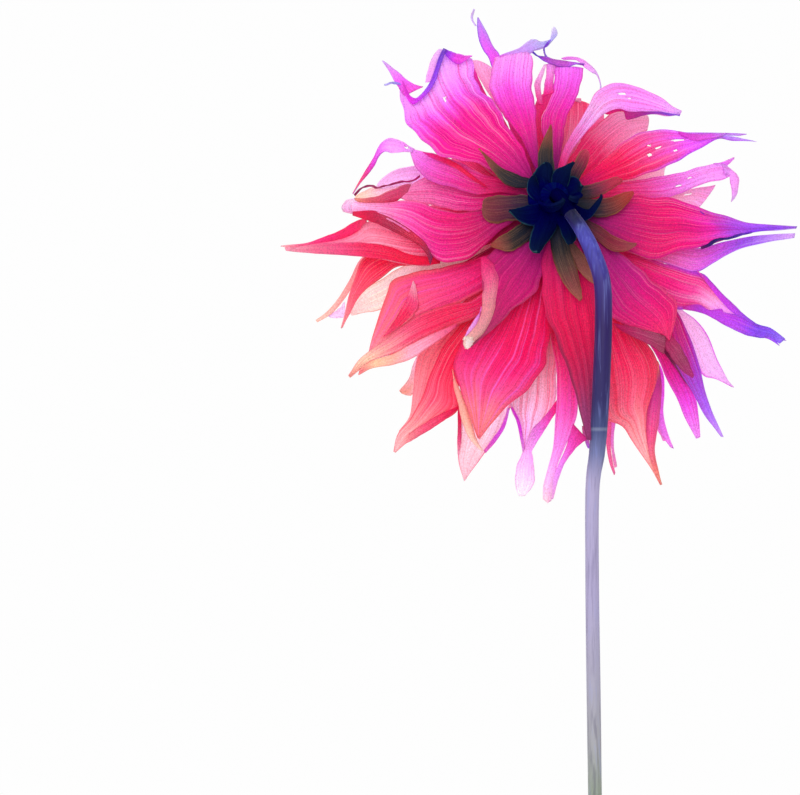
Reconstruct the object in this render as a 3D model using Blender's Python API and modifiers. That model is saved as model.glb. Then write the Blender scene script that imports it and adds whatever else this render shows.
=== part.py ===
"""One dahlia standing in a plain clear jar.

Metres, +Z up, the jar's flat base on z = 0 and its axis on the z axis.
The bloom's back faces -Y and its face looks along +Y, tipped downward.
The petals lie on six nested cones, so no two of them can touch.
"""
import math

import bmesh
import bpy
from mathutils import Vector

for ob in list(bpy.data.objects):
    bpy.data.objects.remove(ob, do_unlink=True)

MM = 0.001

# ---- driving dimensions, millimetres and degrees ---------------------------
JAR_HEIGHT = 118.0
JAR_RADIUS = 35.0
JAR_FOOT_RADIUS = 30.0
JAR_WALL = 2.6
JAR_FLOOR = 5.0
NECK_INSIDE = 18.0
JAR_STEPS = 40

STEM_RADIUS = 3.0
STEM_PATH = [  # x, y, z, thickness factor
    (0.0, -6.0, 8.2, 0.80),
    (0.0, 5.2, 66.0, 0.80),
    (0.0, 13.6, 112.0, 0.80),
    (0.0, 18.4, 160.0, 0.80),
    (0.0, 20.0, 205.0, 0.80),
    (0.2, 19.6, 240.0, 0.82),
    (1.5, 18.6, 254.0, 0.92),
    (2.4, 17.6, 267.0, 0.98),
    (3.5, 16.2, 282.0, 1.00),
    (4.2, 15.4, 298.0, 1.00),
    (4.1, 15.8, 313.0, 1.00),
    (1.2, 18.0, 323.6, 0.94),
    (-3.0, 21.6, 331.6, 0.84),
    (-7.4, 25.0, 337.2, 0.78),
    (-10.7, 26.6, 341.9, 0.76),
    (-12.7, 29.3, 344.3, 0.76),
    (-13.1, 32.5, 343.5, 0.76),
]

BLOOM_CENTRE = (-13.6, 38.0, 343.0)
BLOOM_TILT = 19.0
BLOOM_YAW = 5.0

RECEPTACLE_RADIUS = 9.0
PETAL_START = 9.5
PETAL_THICK = 0.9
ROW_LIFT = [3.0, 9.5, 16.0, 22.5, 29.0, 35.5]
ROW_SEAT = [2.4, 4.3, 6.2, 8.1, 10.0, 11.9]
PETAL_ALONG = 8
PETAL_ACROSS = 4

# row, heading seen level from behind, reach, width, sideways sweep, cup
PETALS = {
    "petal_01": (0, 133.0, 70.0, 28.0, 4.0, 1.4),
    "petal_02": (1, 105.0, 57.0, 15.0, -4.0, 1.0),
    "petal_03": (2, 84.0, 51.0, 16.0, -6.0, 1.0),
    "petal_04": (1, 46.0, 56.0, 14.0, -22.0, 1.4),
    "petal_05": (1, 17.5, 73.0, 15.0, -8.0, 1.0),
    "petal_06": (2, 10.0, 64.0, 14.0, 0.0, 1.0),
    "petal_07": (0, -6.6, 86.0, 21.0, 0.0, 1.4),
    "petal_08": (1, -8.6, 85.0, 9.0, 1.0, 0.8),
    "petal_09": (1, -32.0, 96.0, 15.0, 2.0, 1.0),
    "petal_10": (4, -45.5, 91.0, 15.0, -4.0, 1.4),
    "petal_11": (0, -50.0, 66.0, 26.0, 6.0, 1.2),
    "petal_12": (2, -54.5, 102.0, 14.0, -3.0, 1.0),
    "petal_13": (3, -58.7, 99.0, 13.0, 0.0, 1.0),
    "petal_14": (4, -64.4, 96.0, 9.0, 5.0, 0.8),
    "petal_15": (1, -69.0, 107.0, 20.0, 2.0, 1.2),
    "petal_16": (5, -77.4, 99.0, 9.0, 2.0, 0.8),
    "petal_17": (0, -83.0, 86.0, 13.0, 3.0, 0.8),
    "petal_18": (2, -90.8, 107.0, 11.0, -5.0, 0.8),
    "petal_19": (3, -95.6, 105.0, 12.0, -2.0, 1.0),
    "petal_20": (1, -107.5, 88.0, 27.0, 0.0, 1.4),
    "petal_21": (4, -107.4, 104.0, 18.0, 0.0, 1.2),
    "petal_22": (0, -120.0, 62.0, 20.0, 6.0, 1.4),
    "petal_23": (2, -122.0, 105.0, 16.0, -2.0, 1.2),
    "petal_24": (5, -129.0, 86.0, 11.0, 0.0, 1.0),
    "petal_25": (3, -138.4, 94.0, 13.0, 0.0, 1.0),
    "petal_26": (1, -141.0, 82.0, 15.0, 5.0, 1.2),
    "petal_27": (2, -149.0, 86.0, 13.0, 8.0, 1.0),
    "petal_28": (5, -151.0, 83.0, 14.0, 6.0, 1.2),
    "petal_29": (4, -153.0, 94.0, 10.0, 8.0, 0.8),
    "petal_30": (1, -170.0, 97.0, 13.0, 6.0, 1.0),
    "petal_31": (0, -178.0, 73.0, 20.0, 3.0, 1.2),
    "petal_32": (2, 179.0, 70.0, 14.0, 4.0, 1.0),
    "petal_33": (3, 172.0, 62.0, 16.0, 0.0, 1.4),
    "petal_34": (1, 163.0, 57.0, 13.0, 6.0, 1.0),
    "petal_35": (3, 112.0, 73.0, 12.0, 2.0, 0.8),
    "petal_36": (5, 78.0, 40.0, 15.0, -2.0, 1.2),
    "petal_37": (3, 42.0, 46.0, 18.0, -6.0, 1.4),
    "petal_38": (3, 4.0, 58.0, 14.0, -2.0, 1.0),
    "petal_39": (4, 140.0, 46.0, 18.0, 0.0, 1.4),
    "petal_40": (4, 88.0, 38.0, 18.0, 0.0, 1.4),
    "petal_41": (5, 20.0, 46.0, 18.0, 0.0, 1.4),
}

# heading, reach, width, lift, seat of the thin tongues behind the petals
INNER_BRACTS = {
    "inner_bract_1": (145.0, 31.0, 6.5, -5.0, 0.4),
    "inner_bract_2": (92.0, 25.0, 5.5, -5.0, 0.4),
    "inner_bract_3": (55.0, 22.0, 5.5, -5.0, 0.4),
    "inner_bract_4": (10.0, 27.0, 6.5, -5.0, 0.4),
    "inner_bract_5": (-29.0, 32.0, 6.0, -5.0, 0.4),
    "inner_bract_6": (-68.0, 35.0, 6.5, -5.0, 0.4),
    "inner_bract_7": (-144.0, 27.0, 6.5, -5.0, 0.4),
    "inner_bract_8": (-176.0, 25.0, 6.5, -5.0, 0.4),
}

# azimuth, length, width, first lift, last lift of the fleshy curled lobes
OUTER_BRACTS = {
    "outer_bract_1": (104.0, 13.0, 7.5, -12.0, -118.0),
    "outer_bract_2": (54.0, 12.5, 8.0, -12.0, -100.0),
    "outer_bract_3": (4.0, 14.0, 6.0, -14.0, -50.0),
    "outer_bract_4": (156.0, 12.0, 7.5, -12.0, -105.0),
    "outer_bract_5": (-104.0, 17.0, 7.5, -12.0, -34.0),
    "outer_bract_6": (-157.0, 12.0, 7.0, -14.0, -70.0),
}
BRACT_THICK = 1.7
BRACT_START = 6.4
BRACT_SEAT = -2.6

HEART_PROFILE = [  # radius, height along the bloom's axis, front to back
    (0.0, 57.0), (9.0, 59.0), (20.0, 60.5), (30.0, 58.5), (38.0, 54.0),
    (43.0, 48.5), (42.5, 43.0), (36.0, 36.6), (27.0, 29.2), (18.0, 22.0),
    (11.5, 16.4), (7.0, 14.2), (0.0, 13.6),
]

# ---- helpers ---------------------------------------------------------------
home = bpy.data.collections.new("dahlia_in_jar")
bpy.context.scene.collection.children.link(home)


def paint(name, colour, rough, alpha=1.0):
    mat = bpy.data.materials.new(name)
    mat.use_nodes = True
    node = mat.node_tree.nodes["Principled BSDF"]
    node.inputs["Base Color"].default_value = (*colour, 1.0)
    node.inputs["Roughness"].default_value = rough
    node.inputs["Alpha"].default_value = alpha
    return mat


def adopt(name, mesh, mat):
    ob = bpy.data.objects.new(name, mesh)
    home.objects.link(ob)
    mesh.materials.append(mat)
    return ob


def bloom_axes():
    """Unit vectors of the bloom: right, up and out through its face."""
    tilt = math.radians(BLOOM_TILT)
    yaw = math.radians(BLOOM_YAW)
    face = Vector((-math.sin(yaw) * math.cos(tilt), math.cos(yaw) * math.cos(tilt), -math.sin(tilt)))
    right = Vector((math.cos(yaw), math.sin(yaw), 0.0))
    return right, right.cross(face), face


RIGHT, UP, FACE = bloom_axes()
CENTRE = Vector(BLOOM_CENTRE)


def bloom_point(radius, azimuth, height):
    """A point given by radius, azimuth in radians and height along the face axis."""
    return CENTRE + (RIGHT * math.cos(azimuth) + UP * math.sin(azimuth)) * radius + FACE * height


def aim(seat, lift, heading, reach, sweep):
    """Azimuth and length that bring a tip to its heading and reach, seen level from behind."""
    azimuth = math.radians(heading - sweep)
    length = reach
    want = math.radians(heading)
    for _ in range(30):
        tip = bloom_point(
            PETAL_START + length * math.cos(lift),
            azimuth + math.radians(sweep),
            seat + length * math.sin(lift),
        ) - CENTRE
        seen = math.atan2(tip.z, tip.x)
        off = (want - seen + math.pi) % (2.0 * math.pi) - math.pi
        azimuth += off * 0.7
        length += (reach - math.hypot(tip.x, tip.z)) * 0.7
    return azimuth, length


def half_width(t, width):
    """Half width of a petal: a narrow claw, the belly a little past half way, a drawn-out tip."""
    claw = min(2.3, 1.1 + 0.07 * width)
    belly = 0.5 * width * math.sin(math.pi * min(1.0, 0.10 + 0.90 * t) ** 0.86) ** 0.75
    narrow = claw + 0.30 * t * width
    return max(0.55, min(belly, narrow))


def sheet(name, place, along, across, thick, mat):
    """A grid laid out by the function place(t, s), made a closed solid by Solidify."""
    bm = bmesh.new()
    bmesh.ops.create_grid(bm, x_segments=along, y_segments=across, size=0.5)
    for vert in bm.verts:
        vert.co = place(vert.co.x + 0.5, vert.co.y * 2.0) * MM
    mesh = bpy.data.meshes.new(name)
    bm.to_mesh(mesh)
    bm.free()
    ob = adopt(name, mesh, mat)
    shell = ob.modifiers.new("thickness", "SOLIDIFY")
    shell.thickness = thick * MM
    shell.offset = 0.0
    return ob


def petal(name, row, heading, reach, width, sweep, cup, mat):
    """One long petal lying on its row's cone, its margins raised toward the face by the cup."""
    lift = math.radians(ROW_LIFT[row])
    seat = ROW_SEAT[row]
    azimuth, length = aim(seat, lift, heading, reach, sweep)

    def place(t, s):
        radius = PETAL_START + length * t * math.cos(lift)
        height = seat + length * t * math.sin(lift)
        turn = azimuth + math.radians(sweep) * t ** 1.5
        half = half_width(t, width)
        spread = s * half / radius
        raise_by = cup * s * s * math.sin(math.pi * min(1.0, t * 1.1)) * min(1.0, t * 3.0)
        radius -= raise_by * math.sin(lift)
        height += raise_by * math.cos(lift)
        return bloom_point(radius, turn + spread, height)

    return sheet(name, place, PETAL_ALONG, PETAL_ACROSS, PETAL_THICK, mat)


def inner_bract(name, heading, reach, width, lift_deg, seat, mat):
    """A thin tongue with a rounded end lying against the backs of the petals."""
    lift = math.radians(lift_deg)
    azimuth, length = aim(seat, lift, heading, reach, 0.0)

    def place(t, s):
        radius = PETAL_START + length * t * math.cos(lift)
        height = seat + length * t * math.sin(lift)
        half = 0.5 * width * (0.62 + 0.38 * math.sin(math.pi * t)) * max(0.2, (1.0 - t ** 5))
        return bloom_point(radius, azimuth + s * half / radius, height)

    return sheet(name, place, 6, 2, 0.7, mat)


def outer_bract(name, azimuth_deg, length, width, lift_first, lift_last, mat):
    """A fleshy lobe that grows outward and then curls back toward the stem."""
    azimuth = math.radians(azimuth_deg)
    steps = 60
    path = [(BRACT_START, BRACT_SEAT)]
    for i in range(steps):
        mid = (i + 0.5) / steps
        lift = math.radians(lift_first + (lift_last - lift_first) * mid ** 1.2)
        radius, height = path[-1]
        path.append((radius + math.cos(lift) * length / steps, height + math.sin(lift) * length / steps))
    out = RIGHT * math.cos(azimuth) + UP * math.sin(azimuth)
    side = UP * math.cos(azimuth) - RIGHT * math.sin(azimuth)

    def place(t, s):
        at = min(steps - 1, int(t * steps))
        part = t * steps - at
        radius = path[at][0] + (path[at + 1][0] - path[at][0]) * part
        height = path[at][1] + (path[at + 1][1] - path[at][1]) * part
        half = 0.5 * width * (0.66 + 0.34 * math.sin(math.pi * t)) * max(0.35, 1.0 - t ** 4)
        return CENTRE + out * radius + FACE * height + side * (s * half)

    return sheet(name, place, 7, 3, BRACT_THICK, mat)


def lathe(name, profile, steps, mat):
    """Turn a profile at +X, listed from the top down the outside, round the z axis."""
    mesh = bpy.data.meshes.new(name)
    verts = [(r * MM, 0.0, z * MM) for r, z in profile]
    mesh.from_pydata(verts, [(i, i + 1) for i in range(len(verts) - 1)], [])
    ob = adopt(name, mesh, mat)
    turn = ob.modifiers.new("turned", "SCREW")
    turn.steps = steps
    turn.render_steps = steps
    turn.use_merge_vertices = True
    turn.merge_threshold = 0.00001
    turn.use_smooth_shade = True
    turn.use_normal_calculate = True
    return ob


def to_bloom(ob):
    """Stand a turned piece on the bloom's axis, its +Z along the face axis."""
    ob.rotation_mode = "QUATERNION"
    ob.rotation_quaternion = FACE.to_track_quat("Z", "Y")
    ob.location = CENTRE * MM
    return ob


# ---- materials -------------------------------------------------------------
glass = paint("jar_glass", (0.86, 0.93, 0.94), 0.06, 0.35)
stem_skin = paint("stem_skin", (0.16, 0.11, 0.34), 0.45)
green = paint("receptacle_green", (0.05, 0.10, 0.06), 0.6)
bract_dark = paint("outer_bract_green", (0.015, 0.03, 0.075), 0.4)
bract_olive = paint("inner_bract_olive", (0.30, 0.13, 0.06), 0.55)
heart_red = paint("heart_floret", (0.75, 0.04, 0.12), 0.55)
row_colours = [(0.80, 0.02, 0.30), (0.85, 0.04, 0.28), (0.90, 0.06, 0.25),
               (0.90, 0.12, 0.26), (0.92, 0.20, 0.26), (0.92, 0.28, 0.28)]
row_paint = [paint("petal_row_%d" % (i + 1), row_colours[i], 0.5) for i in range(6)]

# ---- jar -------------------------------------------------------------------
wall = JAR_WALL
jar_profile = [
    (NECK_INSIDE + 1.2, JAR_HEIGHT), (NECK_INSIDE + 3.0, JAR_HEIGHT - 1.0),
    (NECK_INSIDE + 3.4, JAR_HEIGHT - 2.8), (NECK_INSIDE + 2.8, JAR_HEIGHT - 4.8),
    (NECK_INSIDE + 2.2, JAR_HEIGHT - 6.4), (NECK_INSIDE + 2.2, JAR_HEIGHT - 12.0),
    (NECK_INSIDE + 4.0, JAR_HEIGHT - 16.5), (JAR_RADIUS - 6.4, JAR_HEIGHT - 22.0),
    (JAR_RADIUS - 1.6, JAR_HEIGHT - 29.5), (JAR_RADIUS, JAR_HEIGHT - 37.0),
    (JAR_RADIUS, 9.0), (JAR_RADIUS - 1.0, 4.0), (JAR_FOOT_RADIUS + 1.6, 0.9),
    (JAR_FOOT_RADIUS, 0.0), (0.0, 0.0),
]
inside = [
    (0.0, JAR_FLOOR), (JAR_FOOT_RADIUS - 4.0, JAR_FLOOR), (JAR_RADIUS - wall - 2.2, JAR_FLOOR + 2.0),
    (JAR_RADIUS - wall, 12.0), (JAR_RADIUS - wall, JAR_HEIGHT - 37.4),
    (JAR_RADIUS - wall - 1.6, JAR_HEIGHT - 30.6), (JAR_RADIUS - 8.8, JAR_HEIGHT - 24.0),
    (NECK_INSIDE + 1.8, JAR_HEIGHT - 18.4), (NECK_INSIDE, JAR_HEIGHT - 12.6),
    (NECK_INSIDE, JAR_HEIGHT - 1.2), (NECK_INSIDE + 1.2, JAR_HEIGHT),
]
jar = lathe("jar", jar_profile + inside, JAR_STEPS, glass)

# ---- stem ------------------------------------------------------------------
curve = bpy.data.curves.new("stem", "CURVE")
curve.dimensions = "3D"
curve.bevel_depth = STEM_RADIUS * MM
curve.bevel_resolution = 2
curve.use_fill_caps = True
curve.resolution_u = 3
line = curve.splines.new("BEZIER")
line.bezier_points.add(len(STEM_PATH) - 1)
for knot, (x, y, z, factor) in zip(line.bezier_points, STEM_PATH):
    knot.co = (x * MM, y * MM, z * MM)
    knot.radius = factor
    knot.handle_left_type = "AUTO"
    knot.handle_right_type = "AUTO"
stem = bpy.data.objects.new("stem", curve)
home.objects.link(stem)
curve.materials.append(stem_skin)

# ---- receptacle ------------------------------------------------------------
receptacle = to_bloom(lathe("receptacle", [
    (0.0, 13.2), (7.0, 13.0), (RECEPTACLE_RADIUS - 0.3, 12.0), (RECEPTACLE_RADIUS, 9.0),
    (RECEPTACLE_RADIUS, 1.5), (RECEPTACLE_RADIUS - 0.6, -0.4), (6.6, -1.0), (5.4, -1.4),
    (5.0, -3.6), (4.4, -4.6), (0.0, -4.9),
], 28, green))

# ---- bracts ----------------------------------------------------------------
for name, row in OUTER_BRACTS.items():
    outer_bract(name, *row, bract_dark)
for name, row in INNER_BRACTS.items():
    inner_bract(name, *row, bract_olive)

# ---- petals ----------------------------------------------------------------
for name, row in PETALS.items():
    petal(name, *row, row_paint[row[0]])

# ---- heart -----------------------------------------------------------------


def heart_place(polar, azimuth):
    """The massed florets: a shallow dome whose skin is a lattice of crossing spirals."""
    spot = polar / math.pi * (len(HEART_PROFILE) - 1)
    at = min(len(HEART_PROFILE) - 2, int(spot))
    part = spot - at
    r0, h0 = HEART_PROFILE[at]
    r1, h1 = HEART_PROFILE[at + 1]
    radius = r0 + (r1 - r0) * part
    height = h0 + (h1 - h0) * part
    fade = math.sin(min(math.pi, polar * 1.6)) if polar < math.pi / 1.6 else 0.0
    bump = 1.6 * fade * math.cos(8.0 * azimuth + 5.0 * polar) * math.cos(8.0 * azimuth - 5.0 * polar)
    return bloom_point(radius, azimuth, height + bump)


bm = bmesh.new()
bmesh.ops.create_uvsphere(bm, u_segments=40, v_segments=18, radius=1.0)
for vert in bm.verts:
    polar = math.acos(max(-1.0, min(1.0, vert.co.z)))
    azimuth = math.atan2(vert.co.y, vert.co.x)
    vert.co = heart_place(polar, azimuth) * MM
bmesh.ops.reverse_faces(bm, faces=bm.faces[:])
mesh = bpy.data.meshes.new("heart")
bm.to_mesh(mesh)
bm.free()
heart = adopt("heart", mesh, heart_red)
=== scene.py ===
"""A single dahlia in a plain glass jar, seen from the bloom's back.

Lengths are in millimetres until a mesh is made, which is in metres."""

import math

import bmesh
import bpy
import numpy as np
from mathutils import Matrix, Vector


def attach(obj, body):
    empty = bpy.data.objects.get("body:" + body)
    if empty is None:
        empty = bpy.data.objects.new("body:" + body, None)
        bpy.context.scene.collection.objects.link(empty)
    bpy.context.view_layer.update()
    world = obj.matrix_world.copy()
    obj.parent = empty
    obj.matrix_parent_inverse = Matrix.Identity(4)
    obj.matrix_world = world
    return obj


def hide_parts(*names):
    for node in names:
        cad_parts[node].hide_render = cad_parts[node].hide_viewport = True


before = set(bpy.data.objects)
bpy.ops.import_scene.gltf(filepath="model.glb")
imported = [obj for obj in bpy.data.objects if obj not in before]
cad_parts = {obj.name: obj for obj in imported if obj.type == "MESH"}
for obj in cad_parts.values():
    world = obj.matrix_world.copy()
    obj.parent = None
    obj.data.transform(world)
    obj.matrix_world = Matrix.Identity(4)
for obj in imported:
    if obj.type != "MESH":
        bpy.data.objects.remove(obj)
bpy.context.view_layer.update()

MM = 0.001
RAD = math.pi / 180.0
TURN = 2.0 * math.pi

# ---- the bloom's own frame, the same as its solids' ------------------------
# The stem rises on the -y side, the face looks towards +y and down, and z is up.
CENTRE = np.array([-13.6, 38.0, 343.0])
TILT = 19.0 * RAD
YAW = 5.0 * RAD
FACE = np.array([-math.sin(YAW) * math.cos(TILT), math.cos(YAW) * math.cos(TILT), -math.sin(TILT)])
RIGHT = np.array([math.cos(YAW), math.sin(YAW), 0.0])
UP = np.cross(RIGHT, FACE)
PETAL_START = 9.5
PETAL_THICK = 0.35
LOBE_THICK = 1.1
TONGUE_THICK = 0.45
CLAW_HALF = 0.11  # half a claw's width, in radians
CLAW_ROOT = -1.2  # where a claw starts, before the row's own start

# seat and lift of each cone: six rows of petals, the thin leaves behind them, the fleshy lobes
# and the steep ones which stand up round the stem's neck
CONES = {
    0: (2.4, 3.0), 1: (4.3, 9.5), 2: (6.2, 16.0), 3: (8.1, 22.5), 4: (10.0, 29.0), 5: (11.9, 35.5),
    "tongue": (0.7, -4.0), "lobe": (-2.6, -12.0), "hood": (-16.0, -75.0),
}

EYE = np.array([-67.8, -1070.0, 273.0])
VIEW_WIDTH = 283.2  # how much the camera takes in, side to side, at the bloom's centre
CONE_SCALE = np.array([40.0, 1.0])  # a radian round a cone counts as much as 40 mm along it


# ---- shapes ----------------------------------------------------------------
def tone(code):
    """A six-digit colour code turned to linear red, green, blue."""
    parts = np.array([int(code[i:i + 2], 16) for i in (0, 2, 4)]) / 255.0
    return np.where(parts <= 0.04045, parts / 12.92, ((parts + 0.055) / 1.055) ** 2.4)


def dye(code):
    """A petal's colour: the deep ones hold less green and more blue than painted, because the white
    room greys them, and the pale ones are as painted."""
    colour = tone(code)
    deep = 1.0 - np.clip(colour[1] / 0.30, 0.0, 1.0)
    return np.minimum(colour * np.array([1.0, 1.0 - 0.36 * deep, 1.16]), 0.96)


def ease(t, start, end):
    """0 before start, 1 after end, and a smooth s-curve between."""
    s = np.clip((t - start) / (end - start), 0.0, 1.0)
    return s * s * (3.0 - 2.0 * s)


def unit(v):
    """Each vector divided by its own length."""
    return v / np.maximum(np.linalg.norm(v, axis=-1, keepdims=True), 1e-9)


def grid(rows, cols, closed=False):
    """u from 0 to 1 down the rows and s from -1 to 1 across; a closed grid leaves out its last s."""
    down = np.linspace(0.0, 1.0, rows)
    across = np.linspace(-1.0, 1.0, cols, endpoint=not closed)
    return np.meshgrid(down, across, indexing="ij")


def through(knots, count):
    """A smooth line through the knots, Catmull and Rom's cubic, at count points evenly spaced."""
    k = np.asarray(knots, float)
    k = np.vstack([2.0 * k[0] - k[1], k, 2.0 * k[-1] - k[-2]])
    t = np.linspace(0.0, 1.0, 24, endpoint=False)[:, None]
    p0, p1, p2, p3 = (k[i:len(k) - 3 + i][:, None] for i in range(4))
    straight = 2.0 * p1 + (p2 - p0) * t
    bent = (2.0 * p0 - 5.0 * p1 + 4.0 * p2 - p3) * t ** 2 + (3.0 * p1 - p0 - 3.0 * p2 + p3) * t ** 3
    line = np.vstack([(0.5 * (straight + bent)).reshape(-1, k.shape[1]), k[-2]])
    gone = np.concatenate([[0.0], np.cumsum(np.linalg.norm(np.diff(line, axis=0), axis=1))])
    at = np.linspace(0.0, gone[-1], count)
    return np.stack([np.interp(at, gone, line[:, i]) for i in range(k.shape[1])], -1)


def spoke_at(azimuth):
    """The bloom's right and up axes, weighed by the azimuth's cosine and sine."""
    return np.cos(azimuth)[..., None] * RIGHT + np.sin(azimuth)[..., None] * UP


def bloom_point(radius, azimuth, height):
    """Centre, plus radius times the spoke at that azimuth, plus height times the face axis."""
    return CENTRE + radius[..., None] * spoke_at(azimuth) + height[..., None] * FACE


def cone_point(cone, azimuth, length, off):
    """A point on a cone by its azimuth and slant length, raised by off square to the slant."""
    seat, lift = cone[0], cone[1] * RAD
    radius = PETAL_START + length * math.cos(lift) - off * math.sin(lift)
    height = seat + length * math.sin(lift) + off * math.cos(lift)
    return bloom_point(radius, azimuth, height)


def seen(point):
    """Where a point falls on the upright plane through the bloom's centre, from the eye."""
    along = (CENTRE[1] - EYE[1]) / (point[..., 1] - EYE[1])
    return EYE + (point - EYE) * along[..., None]


def on_cone(cone, knots):
    """Azimuth and slant length at which a cone shows each knot, an (x, z) in millimetres from the
    bloom's centre as seen level from behind: each guess moves by what is still missing."""
    x, z = np.asarray(knots, float).T
    azimuth = np.arctan2(z, x)
    length = np.hypot(x, z) - PETAL_START
    for _ in range(40):
        spot = seen(cone_point(cone, azimuth, length, 0.0)) - CENTRE
        miss = np.arctan2(z, x) - np.arctan2(spot[:, 2], spot[:, 0])
        azimuth = azimuth + 0.6 * ((miss + math.pi) % TURN - math.pi)
        length = length + 0.6 * (np.hypot(x, z) - np.hypot(spot[:, 0], spot[:, 2]))
    return np.stack([np.unwrap(azimuth), length], -1)


def side_lines(cone, a, b, claw, polar, count):
    """A sheet's two margins on its cone as azimuth and slant length, smooth through their knots,
    with a narrow claw put before them. Polar knots are an azimuth in degrees and a slant length."""
    if polar:
        a, b = (np.asarray(edge, float) * np.array([RAD, 1.0]) for edge in (a, b))
    else:
        a, b = on_cone(cone, a), on_cone(cone, b)
    b[:, 0] += TURN * round((a[0, 0] - b[0, 0]) / TURN)
    if claw:
        root = 0.5 * (a[0, 0] + b[0, 0])
        half = math.copysign(CLAW_HALF, a[0, 0] - b[0, 0])
        a = np.vstack([[root + half, CLAW_ROOT], a])
        b = np.vstack([[root - half, CLAW_ROOT], b])
    return through(a * CONE_SCALE, count) / CONE_SCALE, through(b * CONE_SCALE, count) / CONE_SCALE


def far_margin(cone, end, start, stop, s):
    """The far margin from start to stop through its knots, read across at s by its running length."""
    far = on_cone(cone, end)
    far[:, 0] += TURN * np.round((start[0] - far[:, 0]) / TURN)
    far = np.vstack([start, far, stop])
    steps = np.linalg.norm(np.diff(far * CONE_SCALE, axis=0), axis=1)
    place = np.concatenate([[0.0], np.cumsum(steps)]) / steps.sum() * 2.0 - 1.0
    return np.stack([np.interp(s, place, far[:, i]) for i in range(2)], -1)


def petal_grid(
    row, a, b, end=(), off=(-0.3, 0.3), bow=0.0, tip=0.0, cup=0.22, pleat=0.16, wave=0.35, waves=2.5,
    rag=0.04, claw=True, polar=False, seed=0.0, along=72, across=21,
):
    """A sheet between two edges a and b, each a list of (x, z) knots from claw to tip, laid on a cone.
    Between the edges it runs straight on the cone, its margins jagged by two sines; end lists knots of
    the far margin, reached by the fourth power of u. Off the cone it adds: off from edge to edge, a bow
    as a half sine along it, a tip lift as u cubed, a cup as s squared times the half width, lengthwise
    pleats as a cosine of s, and a sine wave along the margins."""
    cone = CONES[row]
    side_a, side_b = side_lines(cone, a, b, claw, polar, along)
    u, s = grid(along, across)
    reach = PETAL_START + side_a[:, 1] * math.cos(cone[1] * RAD)
    gap = np.hypot((side_a[:, 0] - side_b[:, 0]) * reach, side_a[:, 1] - side_b[:, 1])
    width = np.maximum(gap, 0.5)
    apart = 0.5 * (side_b - side_a) * (width / np.maximum(gap, 0.002))[:, None]
    jag = np.sin(TURN * (3.1 * u + seed + 0.3 * np.sign(s)))
    jag = jag + 0.6 * np.sin(TURN * (7.7 * u + 1.7 * seed * np.sign(s)))
    spread = s * (1.0 + rag * jag)
    spot = 0.5 * (side_a + side_b)[:, None] + apart[:, None] * spread[..., None]
    if len(end):
        margin = far_margin(cone, end, side_a[-1], side_b[-1], s[0])
        spot = spot + (u ** 4)[..., None] * (margin - spot[-1])[None]
    wide = 0.5 * width[:, None]
    pleats = np.cos(math.pi * 5.0 * s + seed * 9.0) * np.sin(math.pi * u) * np.minimum(1.0, wide / 5.0)
    ruffle = s * s * np.sin(TURN * (waves * u + seed + 0.2 * s)) * ease(u, 0.15, 0.6)
    rise = 0.5 * (off[0] * (1.0 - s) + off[1] * (1.0 + s)) + bow * np.sin(math.pi * u) + tip * u ** 3
    rise = rise + cup * wide * s * s * ease(u, 0.0, 0.3) + pleat * pleats + wave * ruffle
    return cone_point(cone, spot[..., 0], spot[..., 1], rise), u, s


def quads_of(u, s, holes, wrap):
    """Corner numbers of a grid's quads, those centred in a hole left out, and each corner's u and s;
    a wrapped grid's last column joins its first, whose s there is 1."""
    rows, cols = u.shape
    row, col = np.meshgrid(np.arange(rows - 1), np.arange(cols if wrap else cols - 1), indexing="ij")
    beside = (col + 1) % cols
    quad = [row * cols + col, row * cols + beside, (row + 1) * cols + beside, (row + 1) * cols + col]
    quad = np.stack(quad, -1).reshape(-1, 4)
    mid_u = u.reshape(-1)[quad].mean(1)
    mid_s = s.reshape(-1)[quad].mean(1)
    keep = np.ones(len(quad), bool)
    for hole_u, hole_s, long, wide in holes:
        keep &= ((mid_u - hole_u) / long) ** 2 + ((mid_s - hole_s) / wide) ** 2 > 1.0
    quad = quad[keep]
    across = s.reshape(-1)[quad]
    if wrap:
        last = (col.reshape(-1)[keep] == cols - 1)[:, None] & np.array([False, True, True, False])
        across = np.where(last, 1.0, across)
    return quad, u.reshape(-1)[quad], across


def mesh_of(name, sheets, wrap=False, weld=False):
    """A mesh object of (points, u, s, holes) grids: quads between neighbours, a material slot for
    each sheet, and u and s as the map 'along'."""
    corners, quads, maps, slots = [], [], [], []
    start = 0
    for number, (points, u, s, holes) in enumerate(sheets):
        quad, down, across = quads_of(u, s, holes, wrap)
        corners.append(points.reshape(-1, 3))
        maps.append(np.stack([down, across * 0.5 + 0.5], -1).reshape(-1, 2))
        quads.append(quad + start)
        slots.append(np.full(len(quad), number))
        start += u.size
    corners, quads, maps, slots = (np.concatenate(x) for x in (corners, quads, maps, slots))
    me = bpy.data.meshes.new(name)
    me.vertices.add(len(corners))
    me.vertices.foreach_set("co", (corners * MM).astype(np.float32).reshape(-1))
    me.loops.add(quads.size)
    me.loops.foreach_set("vertex_index", quads.astype(np.int32).reshape(-1))
    me.polygons.add(len(quads))
    me.polygons.foreach_set("loop_start", np.arange(0, quads.size, 4, dtype=np.int32))
    me.update(calc_edges=True)
    me.polygons.foreach_set("material_index", slots.astype(np.int32))
    me.uv_layers.new(name="along").data.foreach_set("uv", maps.astype(np.float32).reshape(-1))
    close_mesh(me, weld)
    me.shade_smooth()
    ob = bpy.data.objects.new(name, me)
    bpy.context.scene.collection.objects.link(ob)
    return ob


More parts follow.
